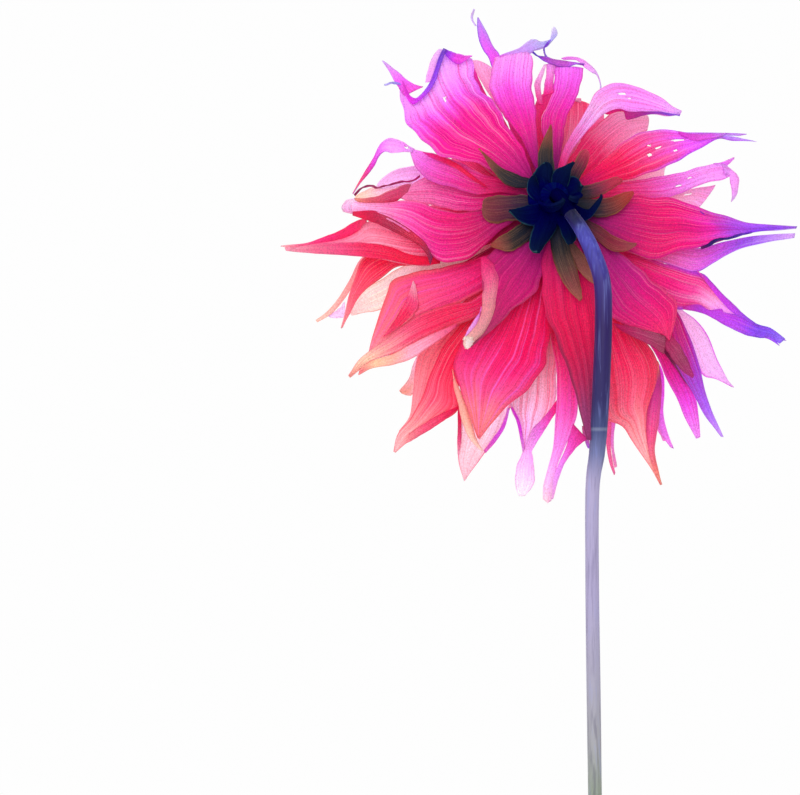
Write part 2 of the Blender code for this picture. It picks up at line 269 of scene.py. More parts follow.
def close_mesh(me, weld):
    """Seams and poles merged and faces turned outwards on a closed piece; an open one only loses the
    corners that its holes have left over."""
    work = bmesh.new()
    work.from_mesh(me)
    if weld:
        bmesh.ops.remove_doubles(work, verts=work.verts[:], dist=2e-6)
        bmesh.ops.recalc_face_normals(work, faces=work.faces[:])
    else:
        bmesh.ops.delete(work, geom=[v for v in work.verts if not v.link_faces], context="VERTS")
    work.to_mesh(me)
    work.free()


def thicken(ob, thick):
    """A wall of that thickness in millimetres, half each side."""
    wall = ob.modifiers.new("wall", "SOLIDIFY")
    wall.thickness = thick * MM
    wall.offset = 0.0
    return ob


def settle(ob, node):
    """Fix a piece to the object's one body, in place of its plain solid."""
    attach(ob, "root")
    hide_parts(node)


# ---- materials -------------------------------------------------------------
class Finish:
    """A material with its nodes, links and main shader, and short ways to add nodes to it."""

    def __init__(self, name):
        self.material = bpy.data.materials.new(name)
        self.material.use_nodes = True
        self.nodes = self.material.node_tree.nodes
        self.links = self.material.node_tree.links
        self.shader = self.nodes["Principled BSDF"]

    def feed(self, value, socket):
        """Put a number, a colour or another node's output into a socket."""
        if isinstance(value, bpy.types.NodeSocket):
            self.links.new(value, socket)
        elif isinstance(value, (int, float)):
            socket.default_value = value
        else:
            socket.default_value = (*[float(x) for x in value], 1.0)

    def coordinates(self, kind):
        """Object coordinates, or the piece's own map 'along'."""
        if kind == "Object":
            return self.nodes.new("ShaderNodeTexCoord").outputs["Object"]
        own = self.nodes.new("ShaderNodeUVMap")
        own.uv_map = "along"
        return own.outputs[0]

    def parts(self, vector):
        """A vector's three numbers."""
        node = self.nodes.new("ShaderNodeSeparateXYZ")
        self.links.new(vector, node.inputs[0])
        return node.outputs

    def math(self, kind, a, b=None, c=None, clamp=False):
        """One step of arithmetic on numbers or outputs."""
        node = self.nodes.new("ShaderNodeMath")
        node.operation = kind
        node.use_clamp = clamp
        for socket, value in zip(node.inputs, (a, b, c)):
            if value is not None:
                self.feed(value, socket)
        return node.outputs[0]

    def times(self, a, b):
        """One number times another."""
        return self.math("MULTIPLY", a, b)

    def scaled(self, value, factor, shift):
        """A number times a factor, plus a shift."""
        return self.math("MULTIPLY_ADD", value, factor, shift)

    def over(self, share, under, top, blend="MIX"):
        """A top colour laid over another by a share from 0 to 1."""
        node = self.nodes.new("ShaderNodeMix")
        node.data_type = "RGBA"
        node.blend_type = blend
        self.feed(share, node.inputs[0])
        self.feed(under, node.inputs[6])
        self.feed(top, node.inputs[7])
        return node.outputs[2]

    def band(self, value, stops):
        """A colour band read at a value; each stop is a place and a colour."""
        node = self.nodes.new("ShaderNodeValToRGB")
        elements = node.color_ramp.elements
        while len(elements) < len(stops):
            elements.new(0.5)
        for element, (place, _) in zip(elements, stops):
            element.position = place
        for element, (_, colour) in zip(elements, stops):
            element.color = (*[float(x) for x in colour], 1.0)
        self.links.new(value, node.inputs[0])
        return node.outputs[0]

    def between(self, value, start, end):
        """0 before start and 1 after end, straight between; start may be past end to turn it round."""
        black, white = (0, 0, 0), (1, 1, 1)
        if start > end:
            return self.band(value, [(end, white), (start, black)])
        return self.band(value, [(start, black), (end, white)])

    def noise(self, vector, stretch, shift=(0.0, 0.0, 0.0), detail=3.0, rough=0.5):
        """Soft noise over coordinates, stretched and shifted first."""
        place = self.nodes.new("ShaderNodeMapping")
        place.inputs["Scale"].default_value = stretch
        place.inputs["Location"].default_value = shift
        self.links.new(vector, place.inputs["Vector"])
        node = self.nodes.new("ShaderNodeTexNoise")
        node.inputs["Scale"].default_value = 1.0
        node.inputs["Detail"].default_value = detail
        node.inputs["Roughness"].default_value = rough
        self.links.new(place.outputs[0], node.inputs["Vector"])
        return node.outputs["Fac"]

    def relief(self, height, strength, depth):
        """Relief on the shader from a height, in metres at full height."""
        bump = self.nodes.new("ShaderNodeBump")
        bump.inputs["Strength"].default_value = strength
        bump.inputs["Distance"].default_value = depth
        self.links.new(height, bump.inputs["Height"])
        self.links.new(bump.outputs[0], self.shader.inputs["Normal"])
        return bump.outputs[0]

    def blend_shaders(self, share, first, second):
        """The surface made of two shaders, the second by a share."""
        both = self.nodes.new("ShaderNodeMixShader")
        self.feed(share, both.inputs[0])
        self.links.new(first, both.inputs[1])
        self.links.new(second, both.inputs[2])
        self.links.new(both.outputs[0], self.nodes["Material Output"].inputs["Surface"])

    def set(self, **values):
        """Numbers on the shader's own sockets, each named with underscores for spaces."""
        for name, value in values.items():
            self.shader.inputs[name.replace("_", " ")].default_value = value


def petal_skin(
    name, hues, rim="f078b0", rim_width=0.10, rim_share=0.4, vein="e8107c", vein_share=0.42,
    streak="ffd8f2", streak_share=0.24, streak_from=0.44, hair_share=0.32, thin=0.45, rough=0.55,
    gloss=0.2, seed=0.0,
):
    """Petal tissue: hues run evenly from claw to tip, the dark claw end partly the petal's own deeper
    colour and partly painted shade round the bloom's centre, with lengthwise veins, pale streaks and hair
    lines, a rim of its own colour, and light passing through."""
    skin = Finish(name)
    along = skin.coordinates("along")
    u, v = skin.parts(along)[:2]
    drift = skin.noise(along, (1.6, 6.0, 1.0), (seed, seed, 0.0))
    lines = skin.noise(along, (0.9, 22.0, 1.0), (seed * 3.1, seed, 2.0), rough=0.6)
    fine = skin.noise(along, (2.2, 74.0, 1.0), (seed, seed * 2.0, 5.0), 2.0, 0.6)
    hair = skin.noise(along, (0.7, 58.0, 1.0), (seed, seed * 4.0, 9.0), rough=0.7)
    speck = skin.noise(skin.coordinates("Object"), (1900.0, 1900.0, 1900.0), detail=2.0, rough=0.7)

    place = skin.math("ADD", u, skin.scaled(drift, 0.24, -0.12), clamp=True)
    steps = np.linspace(0.0, 1.0, len(hues))
    colour = skin.band(place, [(p, dye(c)) for p, c in zip(steps, hues)])
    beyond = skin.between(u, 0.12, 0.4)
    dark = skin.times(skin.between(lines, 0.50, 0.68), vein_share)
    pale = skin.times(skin.between(lines, streak_from, streak_from - 0.14), streak_share)
    pale = skin.times(pale, skin.between(u, 0.22, 0.5))
    light_hair = skin.times(skin.times(skin.between(hair, 0.54, 0.66), hair_share), beyond)
    dark_hair = skin.times(skin.times(skin.between(hair, 0.46, 0.34), hair_share), beyond)
    from_mid = skin.math("ABSOLUTE", skin.scaled(v, 2.0, -1.0))
    edge = skin.math("ADD", from_mid, skin.scaled(fine, 0.10, -0.05))
    on_rim = skin.between(edge, 1.0 - rim_width * 1.6, 1.0 - rim_width * 0.4)
    on_rim = skin.times(skin.times(on_rim, skin.between(u, 0.30, 0.6)), rim_share)
    layers = ((dark, vein), (pale, streak), (light_hair, streak), (dark_hair, vein), (on_rim, rim))
    for share, code in layers:
        colour = skin.over(share, colour, tone(code))
    shade = skin.times(skin.scaled(speck, 1.1, 0.43), skin.scaled(fine, 0.7, 0.63))
    gray = skin.nodes.new("ShaderNodeCombineXYZ")
    for socket in gray.inputs:
        skin.feed(shade, socket)
    colour = skin.over(1.0, colour, gray.outputs[0], "MULTIPLY")

    skin.feed(colour, skin.shader.inputs["Base Color"])
    skin.set(Roughness=rough, Specular_IOR_Level=gloss)
    relief = skin.relief(skin.scaled(fine, 0.5, lines), 0.4, 0.0004)
    glow = skin.nodes.new("ShaderNodeBsdfTranslucent")
    skin.feed(colour, glow.inputs["Color"])
    skin.feed(relief, glow.inputs["Normal"])
    skin.blend_shaders(thin, skin.shader.outputs[0], glow.outputs[0])
    return skin.material


# ---- the petals ------------------------------------------------------------
def sheet(row, a, b, hues, **more):
    """One sheet of a petal: its row, its two edges from claw to tip, and its hues from claw to tip."""
    return dict(row=row, a=a, b=b, hues=hues.split(), **more)


def flap(row, a, b, hues, **more):
    """A curled or folded piece of a petal, which starts away from the claw."""
    facts = dict(claw=False, cup=0.5, along=36, across=11, pleat=0.0, wave=0.15)
    facts.update(more)
    return sheet(row, a, b, hues, **facts)


# Petals are numbered as their solids are, and each is a list of sheets, its main one first. Knots are
# (x, z): millimetres to the right of the bloom's centre and above it, as seen level from behind. A
# hole is u, s, half its length in u and half its width in s. solid_row is given where a petal's solid
# lies in another row.
# Each petal's hues start deep at the claw: partly the petal's own colour, partly painted shade round the
# bloom's centre.
PETALS = {
    "petal_01": [
        sheet(0, [(-16, 8), (-28, 12.5), (-40, 16), (-45.5, 20), (-50, 25.5), (-52.3, 32), (-53.8, 38),
                  (-54.2, 41.5)],
              [(-9, 14), (-14, 23), (-19, 31), (-24, 38), (-27, 43), (-28.5, 47), (-28.5, 50.8)],
              "700a4a b80a74 d80a80 ee0a88 f00c90 f01c9c f064d6 f2a4f2 f0bcf6",
              end=[(-52.5, 39), (-50.5, 36.5), (-48, 36.5), (-45.5, 39), (-43, 42.5), (-41, 48),
                   (-39, 53), (-36, 52.6), (-32, 51.6)], rim="e070f0", cup=0.05, wave=0.5, pleat=0.3,
              vein="e00890", vein_share=0.6, tip=1.5, bow=-1.0, along=110, across=45,
              holes=((0.80, 0.08, 0.022, 0.035),)),
        flap(0, [(-52.5, 37), (-56.5, 43.8), (-60.3, 50.9)],
             [(-46, 40.5), (-49.5, 42), (-53, 44.6), (-56.5, 47.8), (-60, 51)],
             "f070d0 f078e8 eaa0f0 dcc4f4", off=(0.8, 1.2), tip=3.0, rim="b070f0"),
        flap(0, [(-53.3, 42), (-51, 37.8), (-49, 36), (-46.3, 38), (-43.4, 42), (-41.8, 46),
                 (-40.4, 50.5), (-38.8, 53.6)],
             [(-52.8, 37), (-50.2, 33.8), (-47.8, 34.4), (-44.2, 37.6), (-41.5, 42), (-40.3, 46),
              (-38.9, 50), (-37.8, 52.6)],
             "f060d8 ee48dc d648ee a450ea 9450e6 8050d8 7048c0", off=(0.2, -1.4), rim="7044c8"),
        flap(0, [(-38.9, 53.6), (-36, 52.9), (-32, 51.8), (-28.6, 51)],
             [(-38.6, 51.6), (-36.5, 49.4), (-33.5, 48), (-31, 49), (-28.8, 50.4)],
             "7a48d0 c04ce8 f050e0 f058dc f070e0", off=(0.2, -1.2), rim="b048e8"),
        flap(0, [(-45.2, 42), (-44, 47), (-42.6, 51), (-40.4, 53.8)],
             [(-43, 42), (-41.6, 47), (-40.2, 51), (-39, 53.6)],
             "f4b0f0 f2c0f2 e8c8f6", off=(0.9, 0.6)),
        flap(0, [(-54, 41.4), (-56.8, 41.9), (-59.8, 41)],
             [(-53.8, 40.8), (-56.8, 41.3), (-59.8, 40.6)],
             "a890e0 98a0dc c0c8ea", off=(0.3, 0.5)),
    ],
    "petal_39": [
        sheet(4, [(-15, 13), (-22, 26), (-27.5, 38), (-28.8, 44), (-28.4, 49)],
              [(-9, 14), (-13, 20), (-18, 30), (-22, 35), (-26, 42), (-28.2, 48.6)],
              "80084a c00858 f40c54 e4086c e40c98 f03cb4", vein_share=0.3, streak_share=0.1,
              rim="f01878"),
    ],
    "petal_35": [
        sheet(3, [(-13, 20), (-19, 38), (-22.4, 50), (-24.8, 54), (-26.2, 58), (-26.8, 62),
                  (-26.7, 66.6)],
              [(-9, 20), (-14.5, 38), (-18.6, 51.4), (-21, 55.6), (-23, 60.4), (-24.6, 63.6),
               (-26.2, 66.4)],
              "900a50 d81070 f03c90 f03cb0 f04cd0 f05ce0 e080ec c0a8f0", rim="7a50d8", rim_share=0.6,
              rim_width=0.14, tip=3.0),
        sheet(3, [(-12, 22), (-22, 37), (-28, 48), (-28.4, 50.6)],
              [(-9, 20), (-15, 34), (-20.8, 45), (-22, 48)],
              "a00a50 e83088 f480b0 f8a8c8 f8b8d8", end=[(-25, 49.2)], off=(0.6, 0.9), streak_share=0.5),
        flap(3, [(-27.6, 62), (-28.9, 64), (-29, 66), (-28.1, 68)],
             [(-27.1, 62.2), (-28.2, 64), (-28.4, 66), (-27.7, 67.8)],
             "e0c8f4 d0d0f0", off=(0.5, 1.0)),
    ],
    "petal_02": [
        sheet(1, [(-8, 15), (-12.5, 24), (-18.5, 32), (-21.4, 38), (-22, 43), (-20.6, 51)],
              [(-5, 15), (-5.6, 24), (-6.3, 33), (-7.2, 42), (-7.4, 51.4)],
              "6a0a6a b00c80 d40c88 f01498 f038b8 f468dc f49cf0 f4b0f4",
              end=[(-17, 51.2), (-13.5, 51.6), (-10.5, 52.4), (-8.8, 52.6)], rim="f020b0", vein="e808a8",
              vein_share=0.5, pleat=0.35, streak="f8c0e8"),
        flap(1, [(-19, 51.2), (-13.5, 53.6), (-10, 56.4), (-7.2, 58.6), (-6.4, 57.1), (-3, 57.2),
                 (-1, 58), (-0.2, 60.2), (0.6, 64.5)],
             [(-19, 50.9), (-13, 51.6), (-8, 52.8), (-6.4, 54), (-4, 54.8), (-1.6, 56), (0.6, 58.4),
              (2, 61), (1.4, 64.6)],
             "e88cf0 d8a8f4 d0b0f4 ccc4f4 c4ccf2 c0c4f0 d8d4f6 e4e4f8", off=(0.6, 0.0), tip=6.0,
             rim="b0b4f0", cup=0.8),
        flap(1, [(-0.6, 56.6), (-1.9, 55), (-2.9, 53.9), (-2.6, 52.6), (-1.8, 52)],
             [(-1.1, 56.7), (-2.5, 55.4), (-3.3, 53.6), (-2.9, 52.2), (-2.2, 51.8)],
             "a890ee 7a50d0 5848c8 9888e0", off=(0.2, 0.2), tip=2.0),
    ],
    "petal_40": [
        sheet(4, [(-5, 18), (-7, 28), (-6, 35), (-3.4, 37.6)],
              [(3, 18), (4, 28), (2.5, 38), (0.8, 40)],
              "900a50 d80c60 f01070 f42484 f43c98", end=[(-1.2, 39)], streak_share=0.1),
    ],
    "petal_03": [
        sheet(2, [(-1.5, 15), (-3.4, 22), (-4, 28), (-1.4, 35), (0.6, 41), (0.8, 48)],
              [(2.5, 15), (4, 24), (5.4, 31), (8.5, 37), (10.2, 42), (10.9, 47.4)],
              "600a60 a00c78 c80c80 f01498 f43cc0 f46ce0 f488ec", end=[(5.5, 47)], rim="e828b0",
              pleat=0.35, vein="d00898", vein_share=0.45),
        flap(2, [(-5.4, 34), (-6.5, 41), (-5, 44.6), (-3.2, 48)],
             [(-3.6, 34), (-4.4, 41), (-3.4, 45), (-2.4, 48.4)],
             "f04090 f490c8 f8c8e8 f8d8f0", off=(0.3, 0.6)),
        flap(2, [(-3.4, 37), (-2.8, 42), (-2.2, 45), (-2.2, 48.6)],
             [(0.4, 38), (0.2, 43), (0.6, 46), (1.2, 48.6)],
             "f03890 f070c8 f4a0e0 f0a8e8", off=(0.4, 0.2)),
        flap(2, [(-7.6, 52.4), (-5.4, 51.2), (-2, 51.4), (0, 50.6), (4, 50.1), (8, 49), (10.9, 47.7)],
             [(-7.4, 51.6), (-4.8, 49.6), (-1, 48), (4, 46.8), (8, 47.4), (10.9, 47.3)],
             "5850d0 8a60d8 b868d4 c464c8 cc60cc c870e0 d080e8", off=(0.3, -1.5), cup=0.7, rim="6058d0",
             rim_share=0.7),
        flap(2, [(3, 50.3), (6, 51), (10, 50.6), (13.4, 48.6), (16.2, 45.4), (17.5, 42.6), (17.9, 40.6)],
             [(4, 49.6), (8.4, 49.6), (11.4, 47.4), (14, 45.8), (15.6, 45), (17, 43), (17.6, 40.7)],
             "f08ce0 f4a0e8 f2b4ee e8c0f0 dcc4f4 d0ccf4", off=(0.4, 0.0), tip=4.0, rim="e080e0"),
    ],
    "petal_36": [
        sheet(5, [(0.5, 16), (2, 26), (3, 32.5), (4, 34)],
              [(10, 17), (12.4, 26), (13.4, 34.8)],
              "c00a50 f02c70 f47498 f890ac f47094 f44878", end=[(7.5, 35.4)], streak_share=0.5),
        flap(5, [(3, 33), (6, 35.2), (9.6, 35.4)],
             [(3.4, 31.5), (7, 34.4), (9.8, 34.2)],
             "f8a8c8 f8c8e0 f8a0c0", off=(-1.0, -0.6)),
    ],
    "petal_04": [
        sheet(1, [(2.6, 15), (6, 22), (9.6, 28), (12.4, 33), (15.4, 38), (20, 41.4), (25, 42.2),
                  (30, 40.6), (34, 38.4), (38.5, 36), (42, 33), (45.5, 31.2)],
              [(5.5, 15), (9.6, 21.6), (14.4, 27.4), (19, 31.4), (23.6, 32.8), (28.6, 31.8), (33, 31),
               (37, 30.8), (41, 30), (45.2, 30.6)],
              "c81068 f02878 f46cb4 f48cd0 f4b8ee f6ccf2 f4b8ec f09ce8 f0a8ee e4c0f4", rim="f070d8",
              pleat=0.35, vein="f02890", vein_share=0.65,
              holes=((0.73, -0.1, 0.02, 0.10), (0.76, 0.2, 0.01, 0.08)), along=120, across=33),
        flap(1, [(18.5, 30.6), (23, 32.4), (28, 31.8), (33, 31.6), (38, 31.4), (42, 30.6), (45, 30)],
             [(19, 29.6), (24.6, 31), (26.2, 28.4), (32, 29.6), (37, 30.1), (41, 29.4), (44.6, 29.7)],
             "e81070 d80c78 c41c84 b81c90 9c38b0 8048d4 a478ec", off=(0.3, -1.2), rim="c868e8", cup=0.6),
    ],
    "petal_37": [
        sheet(3, [(5, 13), (10, 21), (15.4, 27), (21, 31), (26, 31.6), (33.8, 30.2)],
              [(14, 10), (20, 15.6), (27, 21), (31, 24), (33.6, 25)],
              "c80a54 ee0c58 f01060 f42c74 f88cb0 f8b4c8 f8bccc", end=[(33.9, 27.6)], rim="e8146c",
              rim_share=0.8, rim_width=0.06, streak_share=0.5),
    ],
    "petal_05": [
        sheet(1, [(12, 9), (20, 16), (25, 20.6), (30, 24), (36, 25.3), (42, 24.7), (48, 23.8), (58, 23.9),
                  (68.5, 23.2)],
              [(14, 5), (22, 7), (30, 8.6), (40, 12.6), (47, 15.8), (54, 19.6), (59, 22), (64, 21.2),
               (72.5, 20.9)],
              "b00a60 e00c6c f40c60 f41860 f45494 f070c4 ee78ec e070f0 c484f2 c8b0f4",
              end=[(66, 22.6), (61.5, 22.7), (67, 21.8)], rim="c858f0", rim_share=0.7, pleat=0.4,
              vein="f00868", streak_share=0.4, along=130, across=37,
              holes=((0.46, 0.25, 0.012, 0.09), (0.49, -0.15, 0.012, 0.07), (0.53, 0.1, 0.02, 0.06),
                     (0.66, -0.1, 0.045, 0.10), (0.6, 0.5, 0.012, 0.07))),
        flap(1, [(44, 24.2), (50, 23.9), (56, 23.9), (62, 23.9)],
             [(45, 22.4), (50, 20.8), (54.6, 21.4), (60, 22.4)],
             "f050d8 f060dc f070e8 d090f0", off=(0.2, -1.0)),
    ],
    "petal_41": [
        sheet(5, [(16, 6), (28, 9.5), (36, 12.6), (40.2, 13)],
              [(18, 3), (28, 4.6), (36, 6.2), (39.8, 8.4)],
              "c80a54 f02068 f4789c f8b0bc fbccd4", end=[(39.4, 10.4)], streak_share=0.5),
    ],
    "petal_06": [
        sheet(2, [(16, 5), (28, 6.6), (39, 8.8), (46, 9.7), (52, 11.5), (58, 13), (61.6, 12.4)],
              [(15, 0.5), (28, 1.5), (38, 1), (46, 3), (54, 6.3), (60, 7.5), (62.6, 8.4)],
              "b80a58 e81064 f43878 f450a0 f27cd4 f4a0ee f4b4f6 f0a8f2", end=[(62.4, 10.4)], rim="e050d0",
              pleat=0.4, vein="f040a0", vein_share=0.6, along=120, across=33,
              holes=((0.74, -0.2, 0.022, 0.10), (0.66, 0.3, 0.02, 0.10))),
        flap(2, [(59.6, 12.8), (64, 11), (66.3, 8.5), (65.8, 4.5), (64.4, 1), (62.3, -1.4)],
             [(60.5, 8.6), (62.4, 8.4), (63, 5.4), (63.1, 3), (62.6, 0.6), (62, -1.2)],
             "f0a4f0 f4b0f2 f4b8f2 eeb8f0 e8c8f4", off=(0.2, -1.0), tip=-2.0, rim="e070e0", cup=0.6),
        flap(2, [(57, 13), (61, 14), (64.8, 15.9)],
             [(61, 11.8), (62.6, 13.2), (65, 15.6)],
             "f08cec f090ec e8a8f0", off=(0.4, 0.8), tip=1.5),
    ],
    "petal_38": [
        sheet(3, [(20, 3), (38, 3.4), (48, 4.4), (58, 5.6)],
              [(20, -1), (40, -1.6), (47, -1), (51.4, -3.2)],
              "c80a54 f01c68 f45898 f8acc0 fbd4d4 f8bce0", end=[(55, 1.4)], rim="e840cc", rim_share=0.8,
              rim_width=0.06, streak_share=0.6, holes=((0.84, -0.1, 0.03, 0.12),)),
    ],
    "petal_07": [
        sheet(0, [(13, -3.5), (20, -0.5), (28, 1), (35, 1), (42, 0.2), (49, -2.6), (55, -4.4), (61, -6),
                  (66, -7.8), (70, -8.8), (78, -9.3), (86.4, -9.4)],
              [(14, -9), (22, -15), (30, -19.5), (38, -20.4), (45, -18.2), (51, -17.4), (55, -16),
               (60, -14.4), (66, -12.9), (73, -11.3), (80, -10.6), (86, -10.1)],
              "5c0a50 8c0c68 b80c70 d00a70 e6086c f00874 f01088 f030b0 c858e4 b060f0 b070f4 c8a0f6",
              rim="d840c0", rim_width=0.10, pleat=0.3, vein="a80878", vein_share=0.5, streak_share=0.12,
              cup=0.12, bow=-1.5),
        flap(0, [(51, -3.8), (56, -4.9), (61, -6.2), (66, -7.9), (70, -8.9), (78, -9.4), (86.2, -9.5)],
             [(52, -4.6), (55.6, -8), (60, -11.4), (65, -12.5), (70, -11.8), (78, -10.7), (86, -10)],
             "a03cc0 a83cd0 a848e0 a048ec 9850f0 a860f4 c494f6", off=(0.2, -1.2), cup=0.2, rim="8048e8"),
        # a thin near-navy strip along the lower margin: painted shade
        flap(0, [(52, -17), (54.6, -16), (57, -14.2), (62, -13.6), (66, -12.4), (70, -11.9)],
             [(52, -18), (55, -17), (58, -15), (62, -14.5), (66, -13.2), (70, -12.2)],
             "6a1060 28106c 20106c 38188c 6030b8 9048e0", off=(-1.0, -1.4), rim="201060",
             streak_share=0.0, vein="180850", vein_share=0.8),
    ],
    "petal_08": [
        sheet(1, [(16, -11), (40, -16), (52, -16.6), (60, -15), (67, -13.6), (73, -12.6), (80, -12.1),
                  (85.6, -12)],
              [(16, -14), (36, -21), (46, -24.4), (51, -25), (57, -22), (62, -19), (68, -16.5),
               (76, -14.8), (85.4, -13.4)],
              "a00a60 d81070 f01c78 f4589c f47cbc f080d8 e478ec b070f0 c8a0f6 e0c0f8", rim="b058f0",
              rim_share=0.7, pleat=0.4, streak_share=0.5),
    ],
    "petal_09": [
        sheet(1, [(16, -14), (35, -21), (51, -25.2), (56, -29), (61, -34), (65.4, -38), (69, -41.6),
                  (73, -44.4), (77, -46), (82.5, -50)],
              [(14, -18), (28, -29), (38, -36), (44, -38.6), (50, -38.3), (56, -41), (62, -44.5),
               (68, -47.5), (76, -49), (80.5, -51.4)],
              "a00a60 d40c70 f00870 f00c78 f01080 f01c88 f05ca4 f8b8dc e890f0 a868f0 9068f0",
              end=[(80, -49.6), (77.6, -47.8), (79, -50)], rim="c050f0", rim_width=0.16, rim_share=0.9,
              pleat=0.4, streak_share=0.5, vein="f03090"),
        flap(1, [(51, -25.2), (56, -29), (61, -34), (65.4, -38), (69, -41.6), (73, -44.6)],
             [(51, -25.6), (55, -30.6), (59, -35.4), (63.4, -39.8), (68, -42.8), (72.6, -45)],
             "f060c0 e450e0 e04cec d050f0 a858f0 8858f0", off=(0.2, -0.9), rim="a050f0"),
        flap(1, [(46, -38), (51, -37.2), (55, -39.2), (59.4, -38.6), (60.4, -40), (66, -41.2), (72, -44),
                 (77, -45.8), (82, -49.4)],
             [(46, -38.6), (52, -39.8), (57, -41.8), (62, -44.6), (68, -47.4), (73, -48.6), (77, -48.8),
              (80.4, -50.8)],
             "e040b0 c050d8 d058e8 d050ec c454f0 9058f0 8c64f2 9c80f4", off=(-1.0, 0.2), rim="7858e8",
             cup=0.3, rim_width=0.2),
    ],
    "petal_11": [
        sheet(0, [(13, -10), (25, -20), (34, -27.6), (40, -32), (43, -36), (43.6, -40), (42.6, -45),
                  (41.4, -49.4)],
              [(9, -15), (14, -27), (18, -37), (22, -42), (27, -44.8), (33, -46), (39.6, -47.6)],
              "600a4c 900c68 b00c70 c81484 dc1484 e8107c f02074 f43c6c", end=[(41, -50)], rim="f06098",
              cup=0.10, pleat=0.3, vein="b80c78", vein_share=0.5, streak="f480b8", streak_share=0.5,
              bow=-1.0),
        flap(0, [(21, -43.6), (28, -45), (34, -46.6), (39.8, -48)],
             [(24, -46), (29, -48.6), (34, -51), (39.4, -54.4)],
             "d01060 c82464 b43460 a84058", off=(-0.2, 0.6), cup=0.1, vein="802848", streak_share=0.1,
             rim_share=0.0),
        flap(0, [(40, -46), (44, -50), (47, -55), (50, -62)],
             [(37, -48), (41.6, -55), (45.6, -60), (49.6, -63)],
             "c82064 b83060 a83c60 c02c7c", off=(0.4, 0.8), cup=0.1, vein="702040", streak_share=0.1,
             rim_share=0.0),
    ],
    "petal_12": [
        sheet(2, [(20, -18), (38, -33), (44.6, -40), (48.6, -49), (51.6, -58), (53.5, -66), (56, -74),
                  (58, -79), (60.2, -84)],
              [(18, -22), (33, -40), (39.6, -46), (41, -53), (46, -62), (50, -68.6), (53.6, -76),
               (57, -80.6), (59.6, -83.8)],
              "900a5c c80c68 e40c60 e80c6c e41078 d82098 b850d4 b478f0 ccacf4", rim="b060e0",
              rim_share=0.5, pleat=0.3, streak_share=0.2),
    ],
    "petal_13": [
        sheet(3, [(20, -22), (35, -44), (43, -54), (48, -63), (50.4, -70), (51.4, -77), (52, -84)],
              [(17, -24), (29, -43), (37, -55), (40, -62), (43.6, -69), (47, -77), (51, -84.6)],
              "900a5c d80c68 ee0c70 f40c78 f01088 f030b0 f068e0 ecacf6", rim="f048e0", pleat=0.3,
              streak_share=0.2),
        flap(3, [(40, -50), (45, -55), (49, -63), (51, -68)],
             [(37, -52), (42, -58), (46, -64), (50, -68.6)],
             "903058 983864 a03c70 b83c90", off=(-1.0, -0.8), cup=0.1, vein="602848"),
    ],
    "petal_10": [
        sheet(4, [(20, -18), (38, -32), (46, -39), (50, -42), (53.6, -46), (57, -53.6), (60, -60),
                  (62, -64), (64, -66.4)],
              [(18, -22), (38, -38), (45, -43.6), (48.6, -51), (52, -59), (54, -62.4), (58, -63.4),
               (63.4, -66.2)],
              "b00a5c f03078 f490b8 f8ccdc f8d0e4 f6d4f0 f2c4f2", rim="ea50ec", rim_share=0.9,
              rim_width=0.12, streak_share=0.5, vein="f890b0", vein_share=0.4),
    ],
    "petal_14": [
        sheet(4, [(18, -30), (33, -52), (38.4, -60), (39.4, -68), (39, -75), (40, -81), (42.4, -88)],
              [(16, -32), (30, -52), (36, -62), (37.4, -70), (37.4, -78), (38.6, -83), (41.8, -87.6)],
              "a80a5c e8208c f04cc0 f060e0 f080f0 f4a4f2", rim="e850e8"),
        flap(4, [(38, -76), (38, -80), (39.8, -85.4)],
             [(37, -76), (37.2, -81), (39.2, -85.4)],
             "f070c8 f49ce0", off=(0.3, 0.3)),
    ],
    "petal_15": [
        sheet(1, [(6, -18), (12, -35), (15, -50), (15.6, -64), (17.4, -76), (24, -79.8), (27.6, -84.6),
                  (31.6, -90.6), (35, -95.6), (38, -101)],
              [(14, -19), (25, -38), (32, -48), (37, -54), (38.4, -59), (37, -66), (35, -73), (34, -80),
               (34.6, -88), (36, -95), (38.4, -100.8)],
              "a00a58 d80c58 f00c5c f40c60 f41060 f43468 f46880 f8a0a0 fbc4b8 fbd0ac", rim="f05878",
              pleat=0.4, vein="f03c60", vein_share=0.6, streak_share=0.25),
        flap(1, [(37, -57), (38, -61.6), (38.8, -69), (38, -77), (36.6, -85), (36.2, -90), (37.4, -96),
                 (38.6, -100.8)],
             [(37, -58.6), (36, -66), (34, -73), (33, -79.6), (33.4, -86), (34.4, -92), (36.2, -97),
              (38, -101)],
             "f08868 c83888 d84490 e85494 f05c8c f47c88 f88c78 f8b080", off=(0.2, -1.6), cup=0.8,
             rim="e070b0"),
    ],
    "petal_16": [
        sheet(5, [(14, -30), (17, -60), (18.5, -78), (18.8, -86), (20, -93), (21.6, -97.4)],
              [(18, -30), (21, -60), (21, -78), (20.4, -86), (21, -92), (22, -96.6)],
              "a80a58 e03070 f4608c f46894 f488b0"),
        flap(5, [(20.4, -76), (20.6, -86), (22, -95)],
             [(22.6, -76), (21.6, -86), (22.8, -94.6)],
             "f080c8 f09cdc f4a8c8", off=(0.6, 0.6)),
    ],
    "petal_17": [
        sheet(0, [(-3.4, -18), (-3.4, -30), (-3, -40), (0, -47), (3, -54), (5.4, -60), (7.6, -68),
                  (9.6, -76), (12, -85)],
              [(8, -14), (14, -28), (16, -42), (16.8, -56), (16, -70), (13.6, -85)],
              "600c50 b01064 e01068 f00c60 f00858 e01454 c83060 a85078 a85080", rim="8c2c58",
              rim_share=0.65, rim_width=0.14, cup=0.08, pleat=0.35, vein="a8104c", vein_share=0.4,
              streak="d05070", streak_share=0.4, bow=-0.6),
    ],
    "petal_18": [
        sheet(2, [(-1.6, -35), (-0.8, -48), (1.4, -60), (1.4, -70), (0.6, -80), (0, -88), (-1.8, -95),
                  (-3.3, -101), (-3.5, -106)],
              [(5, -35), (7.6, -56), (8.6, -68), (8.4, -76), (6.6, -82), (4, -88), (1.6, -94),
               (0.2, -100), (-0.6, -106.6)],
